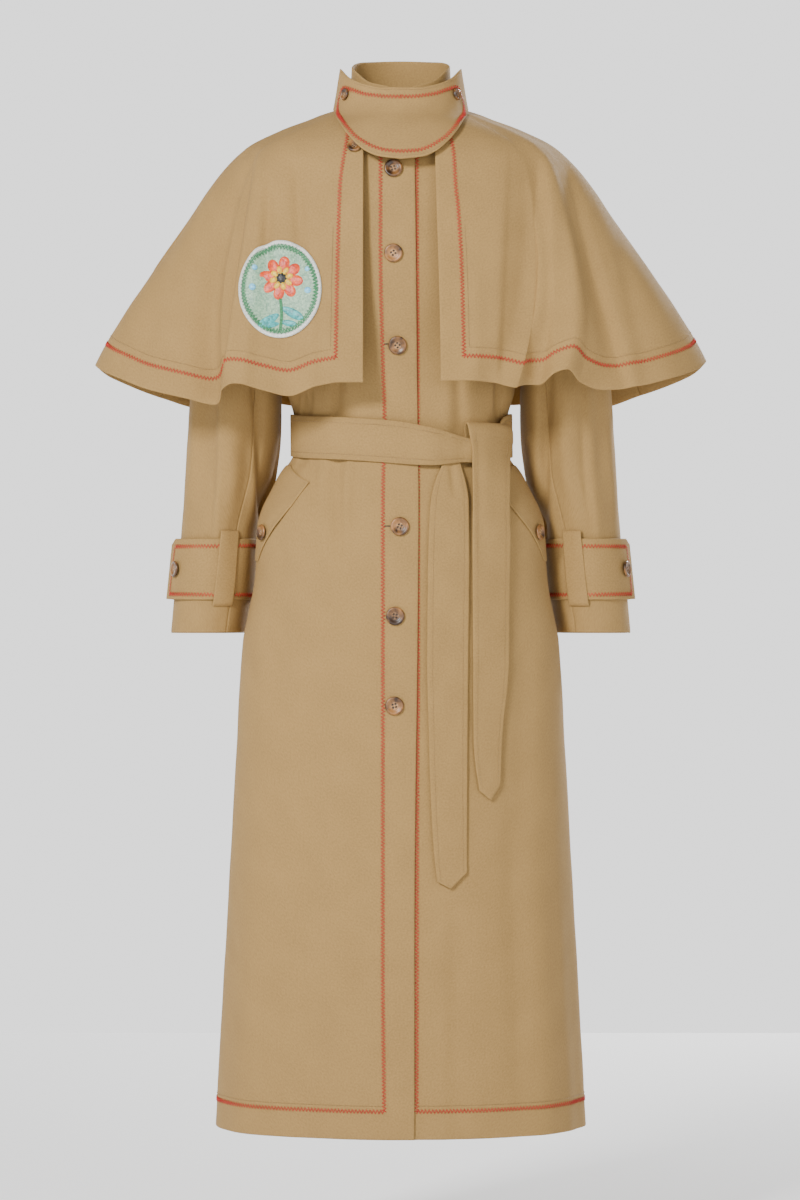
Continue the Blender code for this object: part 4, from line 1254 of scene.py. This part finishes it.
def build_cape():
    above = np.linspace(CAPE["z"][0], CAPE_STITCH + 6, CAPE_ROWS)
    stitched = CAPE_STITCH + np.array([3, 1.5, 0, -1.5, -3, -6])
    hem = np.linspace(CAPE_STITCH - 11, CAPE["z"][-1] + HEM_RIM, 5)
    z = np.concatenate([above, stitched, hem, CAPE["z"][-1:]])
    for name, (_, flute, _) in CAPES.items():
        last = len(flute["relief"]) - 1
        seams = 2 if name == "cape_back" else 1
        shares = rims(np.linspace(0, 1, FLUTE_STEPS * last), CAPE_RIM)
        at = CAPE_SEAM_GAP * (seams - 1) + (last - CAPE_SEAM_GAP * seams) * shares
        points, facing = caped(name, *np.meshgrid(at, z))
        cloth(name, *both(points, facing, name[-1]))


def build_neck():
    angles = stepped("collar_round", COLLAR["angle"][0], COLLAR["angle"][-1])
    angle, share = np.meshgrid(angles, stepped("collar_up"))
    cloth("collar", *lifted(collar, angle, share, np.zeros(3), 0.01), wall=COLLAR_WALL)
    across, down = np.meshgrid(stepped("tab_across", -1), stepped("tab_down"))
    cloth("throat_tab", *tabbed(across, down), wall=COLLAR_WALL)


def tabbed(across, down, lift=0.0):
    base = tab(across, down)
    inside = np.clip(across, -0.98, 0.98), np.clip(down, 0.02, 0.98)
    facing = outward(base, normals(tab, *inside, step=0.01), np.zeros(3))
    return base + facing * (uneven(base, "tab") + lift)[..., None], facing


def draped(points, facing, kind, creases):
    """Points moved out by the cloth's unevenness and its creases, and their facing."""
    relief = uneven(points, kind) + creased(points, facing, creases)
    return points + facing * relief[..., None], facing


def band(angle, share, lift=0.0):
    """The belt's band. `share` runs from -1 at its lower edge to 1 at its upper one."""
    z, half_height, stand_off = (
        smooth(angle, BELT["angle"], BELT[name]) for name in ("z", "half_height", "stand_off")
    )
    waist = np.full(angle.shape, BELT["z"].mean())
    points = plain_body(angle, waist)
    facing = outward(points, normals(plain_body, angle, waist), np.array([0.0, 0.0, BELT["z"].mean()]))
    facing[..., 2] = 0
    points[..., 2] = z + half_height * share
    reach = 0
    for side in (1, 0, -1):
        lean = plain_body(angle, z + half_height * side) - plain_body(angle, waist)
        reach = np.maximum(reach, np.sum(lean * facing, axis=-1))
    points = points + facing * (stand_off + BELT_WALL + np.maximum(reach, 0) + lift)[..., None]
    return draped(points, facing, "belt", BELT_CREASES)


BELT_ENDS = {
    "belt_end_A": (END_A, POINT_A, END_A_CREASES),
    "belt_end_B": (END_B, POINT_B, END_B_CREASES),
}


def build_belt():
    around = stepped("belt_round", BELT["angle"][0], BELT["angle"][-1])
    angle, share = np.meshgrid(around, 1 - 2 * np.array(FLAT_STEPS))
    cloth("belt_band", *band(angle, share), wall=BELT_WALL)
    for name, (rows, *_) in BELT_ENDS.items():
        last = len(rows["z"]) - 1
        steps = (np.linspace(0, last - 0.5, 13 * last), last - np.linspace(0.45, 0.02, 8), [last])
        across, along = np.meshgrid(stepped("end_across"), np.concatenate(steps))
        cloth(name, *strip(name, across, along), wall=BELT_WALL)


def strip(name, across, along, lift=0.0):
    """A hanging end of the belt: its outer face and facing."""
    rows, point, creases = BELT_ENDS[name]
    last = len(rows["z"]) - 1

    def middle(across, along):
        at = {key: smooth(along, np.arange(last + 1), values) for key, values in rows.items()}
        x = at["left"] + (at["right"] - at["left"]) * across
        drop = np.interp(across, point["share"], point["drop"]) * (along > last - POINT_ROWS)
        z = at["z"] + drop * ease((rows["z"][-1] + POINT_LENGTH - at["z"]) / POINT_LENGTH)
        angle, level = locate(plain_body, x, z, END_START)
        away = normals(plain_body, angle, level)
        return plain_body(angle, level) + away * at["stand_off"][..., None]

    facing = normals(middle, across, np.clip(along, 0.01, last - 0.01), step=0.01)
    facing = facing * np.sign(-facing.reshape(-1, 3)[-1, 1])
    points = middle(across, along) + facing * (BELT_WALL / 2 + lift)
    return draped(points, facing, "belt_end", creases)


POCKET_MIDDLE = np.array([0.0, 0.0, POCKET["z"][0]])


def pocket_front(z):
    """The angle of the pocket flap's front edge at each height."""
    return np.interp(-z, -POCKET["z"], POCKET["front_angle"])


def build_pockets():
    heights = np.linspace(POCKET["z"][0], POCKET["z"][-1], POCKET_ROWS)
    front = pocket_front(heights)[:, None]
    angle = front + (POCKET_BACK_ANGLE - front) * stepped("pocket_across")
    z = np.broadcast_to(heights[:, None], angle.shape)
    for side, sign in (("L", 1), ("R", -1)):
        points, facing = lifted(plain_body, sign * angle, z, POCKET_MIDDLE)
        cloth(f"pocket_welt_{side}", points, facing, TRIM_WALL, POCKET_LIFT)


# Stitching of the pieces
def on_coat(angle, z, under=False):
    """A line just off the coat, and the facing there. The left front lies in under the right one."""
    points, facing = coat(angle, z)
    lift = THREAD_LIFT + (under_front(points) if under else np.zeros(len(points)))
    return points + facing * lift[:, None], facing


def build_coat_stitches():
    z = traced("placket", PLACKET_TOP, HEM_STITCH)
    right, left = (front_angle(z, smooth(z, line["z"], line["x"])) for line in (PLACKET_R, PLACKET_L))
    hems = (
        (traced("front_hem", right[-1], -HEM_STITCH_END), False),
        (traced("front_hem", left[-1], HEM_STITCH_END), True),
        (traced("back_hem", 180 - HEM_STITCH_END, 180 + HEM_STITCH_END), False),
    )
    zigzags, plain = [], []
    for angles, under in hems:
        height = np.full(len(angles), HEM_STITCH)
        zigzags.extend(zigzag(*on_coat(angles, height, under)))
        plain.extend(running(*on_coat(angles, height + PLAIN_STEP, under)))
    zigzags.extend(zigzag(*on_coat(right, z)) + zigzag(*on_coat(left, z, under=True)))
    sewn("coat", zigzags, plain)


def build_buttonholes():
    """The dark ends of the buttonholes that show beside two of the front buttons, as near-black tubes:
    painted shade inside the slits.
    """
    lines = []
    for z in BUTTONHOLES:
        x = traced("buttonhole", *BUTTONHOLE)
        level = np.full(x.shape, z)
        points, facing = coat(front_angle(level, x), level)
        for off in BUTTONHOLE_SIDES:
            lines.append((points + facing * BUTTONHOLE_LIFT + np.array([0.0, 0.0, off]), facing))
    # The slits are painted near-black, as painted shade.
    thread("buttonholes", lines, "painted_hole_shade")


def build_pocket_stitches():
    plain = []
    z = traced("pocket", POCKET["z"][0] - 4, POCKET["z"][-1] + 3)
    for sign in (1, -1):
        points, facing = lifted(plain_body, sign * (pocket_front(z) + POCKET_STITCH), z, POCKET_MIDDLE)
        plain.extend(running(points + facing * (POCKET_LIFT + PLAIN_LIFT), facing))
    thread("pocket_stitching", plain, "plain_thread")


def build_cape_stitches():
    zigzags, plain = [], []
    kinds = ((0.0, 0.0, zigzags, zigzag), (PLAIN_STEP, CAPE_PLAIN_STEP, plain, running))
    for name, edge in (("cape_front_R", CAPE_EDGE_STITCH_R), ("cape_front_L", CAPE_EDGE_STITCH_L)):
        surface, flute, _ = CAPES[name]
        last = len(flute["relief"]) - 1
        stretch = (CAPE["z"][0] - flute["hem_z"][0]) / (CAPE["z"][0] - CAPE["z"][-1])
        for inset, up, made, stitch in kinds:
            foot = CAPE["z"][0] + (CAPE_STITCH + up - CAPE["z"][0]) * stretch
            z = traced("cape_edge", edge["z"].max(), foot)
            down, level = locate(surface, smooth(z, edge["z"], edge["x"] + inset), z, CAPE_EDGE_START)
            around = traced("cape_front_hem", down[-1], last - 0.02)
            first = CAPE_PLAIN_FIRST if inset else 0
            hem = np.full(len(around), CAPE_STITCH + up)
            for at, height in ((around, hem), (down[first:], level[first:])):
                points, facing = caped(name, at, height)
                made.extend(stitch(*both(points + facing * THREAD_LIFT, facing, name[-1])))
    last = len(CAPE_FLUTES_BACK["relief"]) - 1
    at = traced("cape_back_hem", 0.03, last - 0.03)
    for _, up, made, stitch in kinds:
        points, facing = caped("cape_back", at, np.full(len(at), CAPE_STITCH + up))
        made.extend(stitch(points + facing * THREAD_LIFT, facing))
    sewn("cape", zigzags, plain)


def rounded(values):
    """Values round a closed line, each one averaged with its three neighbours on both sides."""
    return np.convolve(np.concatenate([values[-4:-1], values, values[1:4]]), np.ones(7) / 7, "valid")


def build_tab_stitches():
    x, z = TAB_STITCH["x"], TAB_STITCH["z"]
    knots = np.concatenate([[0], np.cumsum(np.hypot(np.diff(x), np.diff(z)))])
    at = traced("tab", 0, 1)
    knots /= knots[-1]
    x, z = rounded(np.interp(at, knots, x)), rounded(np.interp(at, knots, z))
    across, down = np.empty_like(x), np.empty_like(x)
    for sign in (1, -1):
        chosen = x * sign >= 0
        across[chosen], down[chosen] = locate(tab, x[chosen], z[chosen], (sign * 0.5, 0.5))
    plain = []
    along = traced("tab_edge", -0.97, 0.97)
    for share in (0.965, 0.035):
        plain.extend(running(*tabbed(along, np.full(len(along), share), PLAIN_LIFT)))
    sewn("tab", zigzag(*tabbed(across, down, THREAD_LIFT)), plain)


def build_belt_stitches():
    plain = []
    angle = traced("belt", BELT["angle"][0] + 1, BELT["angle"][-1] - 1)
    for share in (BAND_STITCH, -BAND_STITCH):
        plain.extend(running(*band(angle, np.full(angle.shape, share), PLAIN_LIFT)))
    for name, (rows, *_) in BELT_ENDS.items():
        along = traced("belt_end", 0.3, len(rows["z"]) - 1.12)
        for across in (END_STITCH, 1 - END_STITCH):
            plain.extend(running(*strip(name, np.full(along.shape, across), along, PLAIN_LIFT)))
    thread("belt_stitching", plain, "plain_thread")


# Buttons
def ring_faces(levels, count):
    """Four-sided faces between rings of points, each with `count` points."""
    faces = []
    for low in range(0, (levels - 1) * count, count):
        for k in range(count):
            after = (k + 1) % count
            faces.append((low + k, low + after, low + count + after, low + count + k))
    return faces


def fan(tip, first, count):
    """Three-sided faces between one point and a ring of points."""
    return [(tip, first + k, first + (k + 1) % count) for k in range(count)]


def button(name, kind, spot, away, index=0, turns=1):
    """A four-hole horn button with a raised rim, in place of the solid one."""
    width, turn, number = BUTTONS[kind]
    radius = width / 2
    rings = np.concatenate([np.linspace(*BUTTON_FLOOR), BUTTON_RIM, BUTTON_BACK[0]])
    heights = np.concatenate([np.interp(rings[: -len(BUTTON_BACK[0])], *BUTTON_FACE), BUTTON_BACK[1]])
    share, around = np.meshgrid(rings, np.radians(np.arange(0, 360, 9)), indexing="ij")
    x, y = radius * share * np.cos(around), radius * share * np.sin(around)
    z = np.broadcast_to(heights[:, None], x.shape).copy()
    on_floor = np.arange(len(rings)) < BUTTON_FLOOR[2]
    for hole_x, hole_y in ((1, 1), (1, -1), (-1, 1), (-1, -1)):
        near = np.hypot(x - hole_x * HOLE_STEP * width, y - hole_y * HOLE_STEP * width)
        z -= HOLE_DEPTH * (1 - ease((near / (HOLE_RADIUS * width) - 0.75) / 0.5)) * on_floor[:, None]
    corners = np.concatenate([np.stack([x, y, z], -1).reshape(-1, 3), [[0, 0, BUTTON_FACE[1][0]], [0, 0, 0]]])
    levels, count = x.shape
    faces = [(b, a, d, c) for a, b, c, d in ring_faces(levels, count)]
    faces += fan(len(corners) - 2, 0, count)
    faces += [face[::-1] for face in fan(len(corners) - 1, (levels - 1) * count, count)]
    flat = corners[:, :2] * MM + (number + index) * MARBLE_SHIFT
    mesh = meshed(f"{name}_horn", corners, faces, "horn", flat)
    # The pale centre is the horn's own tone. The near-black is painted shade for the holes' depth.
    for centre_tone_and_hole_shade in ("horn_pale", "painted_hole_shade"):
        mesh.materials.append(MATERIALS[centre_tone_and_hole_shade])
    # Faces in the four shallow holes get the near-black painted shade. The rest of the centre gets the pale
    # horn.
    for face in mesh.polygons:
        spot_x, spot_y, height = corners[list(face.vertices)].mean(axis=0)
        if height > HOLE_DEPTH / 3 and math.hypot(spot_x, spot_y) < PALE_CENTRE * radius:
            corner = HOLE_STEP * width
            in_hole = math.hypot(abs(spot_x) - corner, abs(spot_y) - corner) < HOLE_RADIUS * width
            face.material_index = 2 if in_hole else 1
    away = Vector(away).normalized()
    faced = away.to_track_quat("Z", "Y").to_matrix().to_4x4()
    turned = Matrix.Rotation(math.radians(turn * turns), 4, "Z")
    place(mesh, "horn", name, Matrix.Translation((Vector(spot) + away * BUTTON_GAP) * MM) @ faced @ turned)


def build_buttons():
    for index, (x, z) in enumerate(zip(*FRONT_BUTTONS.values()), start=1):
        at = locate(body, np.array(x), np.array(z), (0.0, z))
        button(f"front_button_{index}", "front", body(*at), normals(body, *at), index, turns=index)
    for index, (side, sign) in enumerate((("L", 1), ("R", -1)), start=1):
        x, z = TAB_BUTTON_PLACE
        at = locate(tab, np.array(sign * x), np.array(z), (sign * 0.85, 0.5))
        away = normals(tab, *at, step=0.01)
        button(f"tab_button_{side}", "tab", tab(*at), away * np.sign(-away[1]), index, turns=sign)
        angle, row = np.array(CUFF_BUTTON_PLACE[0]), sleeve_row(CUFF_BUTTON_PLACE[1])
        away = normals(sleeve, angle, row)
        away = away * np.sign(away[0])
        lift = CUFF_BUTTON_LIFT + np.interp(angle - 360, STRAP["angle"], STRAP["stand_off"])
        button(f"cuff_button_{side}", "cuff", *both(sleeve(angle, row) + away * lift, away, side), index)
        at = np.array(sign * POCKET_BUTTON_PLACE[0]), np.array(POCKET_BUTTON_PLACE[1])
        away = normals(body, *at)
        button(f"pocket_button_{side}", "pocket", body(*at) + away * (TRIM_WALL + POCKET_GAP), away, index)
    x, z = CAPE_BUTTON_PLACE
    at = locate(CAPE_R, np.array(x), np.array(z), (0.5, z))
    away = normals(CAPE_R, *at)
    button("cape_button", "cape", *both(CAPE_R(*at), away * np.sign(-away[1]), "R"))


# The badge
def badge(x, z, lift):
    """Points over the badge's place, in its own x and z from its middle, lifted off the cape."""
    at = locate(CAPE_R, -(PATCH_MIDDLE[0] + x), PATCH_MIDDLE[1] + z, PATCH_START)
    points, facing = both(*caped("cape_front_R", *at), "R")
    return points + facing * np.asarray(lift)[..., None], facing


def dome(outline, middle, height, base=PATCH_TOP, rings=7):
    """A padded shape of embroidery: rings of its outline drawn in to its middle, raised most there."""
    share = np.cos(np.linspace(0, math.pi / 2, rings + 1))[:-1, None]
    x = np.append(middle[0] + (outline[:, 0] - middle[0]) * share, middle[0])
    z = np.append(middle[1] + (outline[:, 1] - middle[1]) * share, middle[1])
    lift = base - DOME_SUNK + (height + DOME_SUNK) * np.sqrt(1 - share**2) + np.zeros(len(outline))
    points, _ = badge(x, z, np.append(lift, base + height))
    count = len(outline)
    faces = ring_faces(rings, count) + fan(rings * count, (rings - 1) * count, count)
    return points, faces, np.stack([x, z], -1)


def shapes(name, parts, node=None):
    """One piece of embroidery from parts, each with its points, faces and flat layout."""
    corners, faces, flats, total = [], [], [], 0
    for points, found, flat in parts:
        corners.append(points)
        flats.append(flat)
        faces += [tuple(k + total for k in face) for face in found]
        total += len(points)
    mesh = meshed(name, np.concatenate(corners), faces, SHAPE_COLOURS[name], np.concatenate(flats) * MM)
    place(mesh, "badge", node)


def petal(angle, inner, outer, width, count=28):
    """The outline of a petal or leaf that points away from the middle."""
    t = np.linspace(0, 2 * math.pi, count, endpoint=False)
    along = (inner + outer) / 2 - (outer - inner) / 2 * np.cos(t)
    across = width / 2 * np.sin(t) * (0.75 + 0.25 * (along - inner) / (outer - inner))
    sine, cosine = math.sin(math.radians(angle)), math.cos(math.radians(angle))
    return np.stack([along * sine + across * cosine, along * cosine - across * sine], -1)


def petals(first, size, height, base=PATCH_TOP):
    """Eight petals round the flower's centre."""
    made = []
    for angle in range(first, first + 360, 45):
        outline = petal(angle, *size)
        made.append(dome(outline + FLOWER, outline.mean(axis=0) + FLOWER, height, base))
    return made


def build_ground(oval):
    """The badge's ground: an oval plate of cloth on the cape."""
    rings = np.array([0.15, 0.35, 0.55, 0.75, 0.9, 1.0])
    flat = np.append((oval * rings[:, None, None]).reshape(-1, 2), [[0.0, 0.0]], axis=0)
    top, facing = badge(*flat.T, np.full(len(flat), PATCH_TOP))
    count, total = len(oval), len(flat)
    faces = [(a, d, c, b) for a, b, c, d in ring_faces(len(rings), count)] + fan(total - 1, 0, count)
    faces = [face[::-1] for face in faces] + [tuple(k + total for k in face) for face in faces]
    rim = (len(rings) - 1) * count
    for k in range(rim, rim + count):
        after = rim + (k + 1 - rim) % count
        faces.append((after, k, k + total, after + total))
    both_faces = np.concatenate([top, top - facing * TRIM_WALL])
    shapes("badge_ground", [(both_faces, faces, np.concatenate([flat, flat]))], "patch")


def build_badge():
    turns = np.radians(np.arange(0, 360, 3))
    circle = np.stack([np.cos(turns), np.sin(turns)], -1)
    oval = circle * (PATCH_HALF_WIDTH, PATCH_HALF_HEIGHT)
    build_ground(oval)
    turn, reach = np.meshgrid(np.linspace(0, 2 * math.pi, 301)[:-1], EDGE_REACH, indexing="ij")
    x, z = PATCH_HALF_WIDTH * reach * np.cos(turn), PATCH_HALF_HEIGHT * reach * np.sin(turn)
    points, away = badge(x, z, PATCH_TOP + np.array(EDGE_LIFT) + 0 * turn)
    thread("badge_edge", list(zip(points, away)), "badge_edge")
    ring = []
    for reach in RING_REACH:
        spots = np.append(oval * reach, oval[:1] * reach, axis=0)
        ring += zigzag(*badge(*spots.T, np.full(len(spots), PATCH_TOP + 0.45)))
    thread("badge_ring", ring, "badge_green")
    shapes("badge_petals", petals(10, PETAL, 1.3))
    shapes("badge_inner_petals", petals(32, INNER_PETAL, 1.9, PATCH_TOP + 0.5))
    shapes("badge_heart", [dome(FLOWER + HEART * circle[::4], FLOWER, 2.6)])
    leaves = []
    for x, z, angle, length, width in zip(*LEAVES.values()):
        outline = petal(angle, 1, length, width) + (x, z)
        leaves.append(dome(outline, outline.mean(axis=0), 1.1))
    shapes("badge_leaves", leaves)
    z = traced("stem", *STEM)
    x = 0.5 + 1.5 * np.sin((z - STEM[0]) / (STEM[1] - STEM[0]) * math.pi)
    stem = [badge(x + off, z, np.full(len(z), PATCH_TOP + 0.5)) for off in (-1.1, 0.0, 1.1)]
    thread("badge_stem", stem, "badge_green", STEM_THREAD)
    buds = [dome((x, z) + size * circle[::5], (x, z), 1.6) for x, z, size in zip(*BUDS.values())]
    shapes("badge_buds", buds)


# Materials
def node(tree, kind, links=(), **values):
    made = tree.nodes.new(kind)
    for name, value in values.items():
        setattr(made, name, value)
    for socket, source in links:
        if hasattr(source, "default_value") and hasattr(source, "node"):
            tree.links.new(source, made.inputs[socket])
        else:
            made.inputs[socket].default_value = source
    return made


def maths(tree, kind, a, b=0.0):
    return node(tree, "ShaderNodeMath", ((0, a), (1, b)), operation=kind).outputs[0]


def base_material(name, roughness):
    made = bpy.data.materials.new(name)
    made.use_nodes = True
    shader = made.node_tree.nodes["Principled BSDF"]
    shader.inputs["Roughness"].default_value = roughness
    MATERIALS[name] = made
    return made.node_tree, shader


def noise(tree, vector, scale, detail=2.0, rough=0.5):
    links = (("Vector", vector), ("Scale", scale), ("Detail", detail), ("Roughness", rough))
    return node(tree, "ShaderNodeTexNoise", links).outputs["Fac"]


def blended(tree, factor, dark, light):
    mix = node(tree, "ShaderNodeMix", data_type="RGBA")
    tree.links.new(factor, mix.inputs["Factor"])
    mix.inputs["A"].default_value = (*dark, 1.0)
    mix.inputs["B"].default_value = (*light, 1.0)
    return mix.outputs["Result"]


def ranged(tree, value, low, high):
    made = node(tree, "ShaderNodeMapRange", (("Value", value), ("From Min", low), ("From Max", high)))
    return made.outputs["Result"]


def summed(tree, a, share_a, b, share_b):
    return maths(tree, "ADD", maths(tree, "MULTIPLY", a, share_a), maths(tree, "MULTIPLY", b, share_b))


def finished(tree, shader, colour, height, strength, distance, invert=False):
    """Gives a shader its colour, and raises its surface by a height."""
    tree.links.new(colour, shader.inputs["Base Color"])
    links = (("Height", height), ("Strength", strength), ("Distance", distance))
    bump = node(tree, "ShaderNodeBump", links, invert=invert)
    tree.links.new(bump.outputs["Normal"], shader.inputs["Normal"])


def flat_layout(tree):
    return node(tree, "ShaderNodeUVMap", uv_map="UVMap").outputs["UV"]


def build_gabardine():
    tree, shader = base_material("gabardine", 0.88)
    uv = flat_layout(tree)
    split = node(tree, "ShaderNodeSeparateXYZ", (("Vector", uv),)).outputs
    twill = maths(tree, "SINE", summed(tree, split["X"], TWILL_ACROSS, split["Y"], TWILL_ALONG))
    yarn = noise(tree, uv, 900.0, 1.0)
    mixed = summed(tree, noise(tree, uv, 22.0, 3.0), 0.3, noise(tree, uv, 420.0), 0.7)
    colour = blended(tree, ranged(tree, mixed, 0.3, 0.7), TAN_DARK, TAN_LIGHT)
    height = maths(tree, "ADD", maths(tree, "MULTIPLY", twill, 0.5), yarn)
    finished(tree, shader, colour, height, 0.3, 0.0003)


def build_materials():
    build_gabardine()
    for name, dark, light in THREAD_COLOURS:
        tree, shader = base_material(name, 0.55)
        where = node(tree, "ShaderNodeTexCoord").outputs["Object"]
        colour = blended(tree, ranged(tree, noise(tree, where, 700.0), 0.35, 0.65), dark, light)
        finished(tree, shader, colour, noise(tree, where, 2500.0), 0.3, 0.0002)
    for name, dark, light, scale in BADGE_COLOURS:
        tree, shader = base_material(name, 0.42)
        cells = node(tree, "ShaderNodeTexVoronoi", (("Vector", flat_layout(tree)), ("Scale", scale)))
        tone = node(tree, "ShaderNodeSeparateColor", (("Color", cells.outputs["Color"]),)).outputs[0]
        finished(tree, shader, blended(tree, tone, dark, light), cells.outputs["Distance"], 0.6, 0.0006, True)
    for name, dark, light in (("horn", HORN_DARK, HORN_LIGHT), ("horn_pale", *HORN_PALE)):
        tree, shader = base_material(name, 0.36)
        uv = flat_layout(tree)
        marble = noise(tree, uv, 150.0, 4.0, 0.6)
        streak = summed(tree, noise(tree, uv, 55.0), 0.7, marble, 0.3)
        colour = blended(tree, ranged(tree, streak, 0.42, 0.60), dark, light)
        finished(tree, shader, colour, marble, 0.1, 0.0002)


# Light, floor and camera
def build_camera():
    data = bpy.data.cameras.new("camera")
    data.sensor_fit = "VERTICAL"
    data.sensor_height = data.sensor_width = SENSOR
    data.lens = CAMERA_LENS
    data.clip_end = 100.0
    made = bpy.data.objects.new("camera", data)
    made.location = CAMERA_PLACE
    made.rotation_euler = (math.radians(90), 0.0, 0.0)
    bpy.context.scene.collection.objects.link(made)
    bpy.context.scene.camera = made


def build_stage():
    mesh = bpy.data.meshes.new("floor")
    corners = [(x * FLOOR_HALF, y * FLOOR_HALF, FLOOR_Z) for x, y in ((-1, -1), (1, -1), (1, 1), (-1, 1))]
    mesh.from_pydata(corners, [], [(0, 1, 2, 3)])
    floor = bpy.data.objects.new("floor", mesh)
    bpy.context.scene.collection.objects.link(floor)
    _, shader = base_material("floor", 0.9)
    shader.inputs["Base Color"].default_value = (*FLOOR_COLOUR, 1.0)
    mesh.materials.append(MATERIALS["floor"])
    world = bpy.data.worlds.new("world")
    world.use_nodes = True
    tree = world.node_tree
    ray = node(tree, "ShaderNodeTexCoord").outputs["Generated"]
    rise = node(tree, "ShaderNodeSeparateXYZ", (("Vector", ray),)).outputs["Z"]
    soft = node(tree, "ShaderNodeMapRange", (("Value", rise),), interpolation_type="SMOOTHSTEP")
    limits = (*WALL_TOP, WALL_LIGHT, CEILING_LIGHT)
    for socket, value in zip(("From Min", "From Max", "To Min", "To Max"), limits):
        soft.inputs[socket].default_value = value
    tree.nodes["Background"].inputs["Color"].default_value = (1.0, 1.0, 1.0, 1.0)
    tree.links.new(soft.outputs["Result"], tree.nodes["Background"].inputs["Strength"])
    bpy.context.scene.world = world
    for name, spot, size, power in LIGHTS:
        light = bpy.data.lights.new(name, "AREA")
        light.size = size
        light.energy = power
        made = bpy.data.objects.new(name, light)
        made.location = spot
        made.rotation_euler = (Vector(LIGHT_TARGET) - Vector(spot)).to_track_quat("-Z", "Y").to_euler()
        bpy.context.scene.collection.objects.link(made)


def declare_sheets():
    """Works out, for each cloth on both sides, the name of the cloth it rests on or hangs from, and does
    nothing more with it. The pieces on both sides are alike.
    """
    for name, flat, area, held, under in SIDE_SHEETS:
        for side, word in (("L", "left"), ("R", "right")):
            below = f"front_{word}_cloth" if under == "front" else under
            below = below if below.endswith("cloth") else f"{below}_{side}_cloth"


def main():
    build_materials()
    build_coat()
    build_sleeves()
    build_cuffs()
    build_cape()
    build_neck()
    build_belt()
    build_pockets()
    build_coat_stitches()
    build_cape_stitches()
    build_tab_stitches()
    build_belt_stitches()
    build_buttonholes()
    build_pocket_stitches()
    build_buttons()
    build_badge()
    declare_sheets()
    build_stage()
    build_camera()


main()
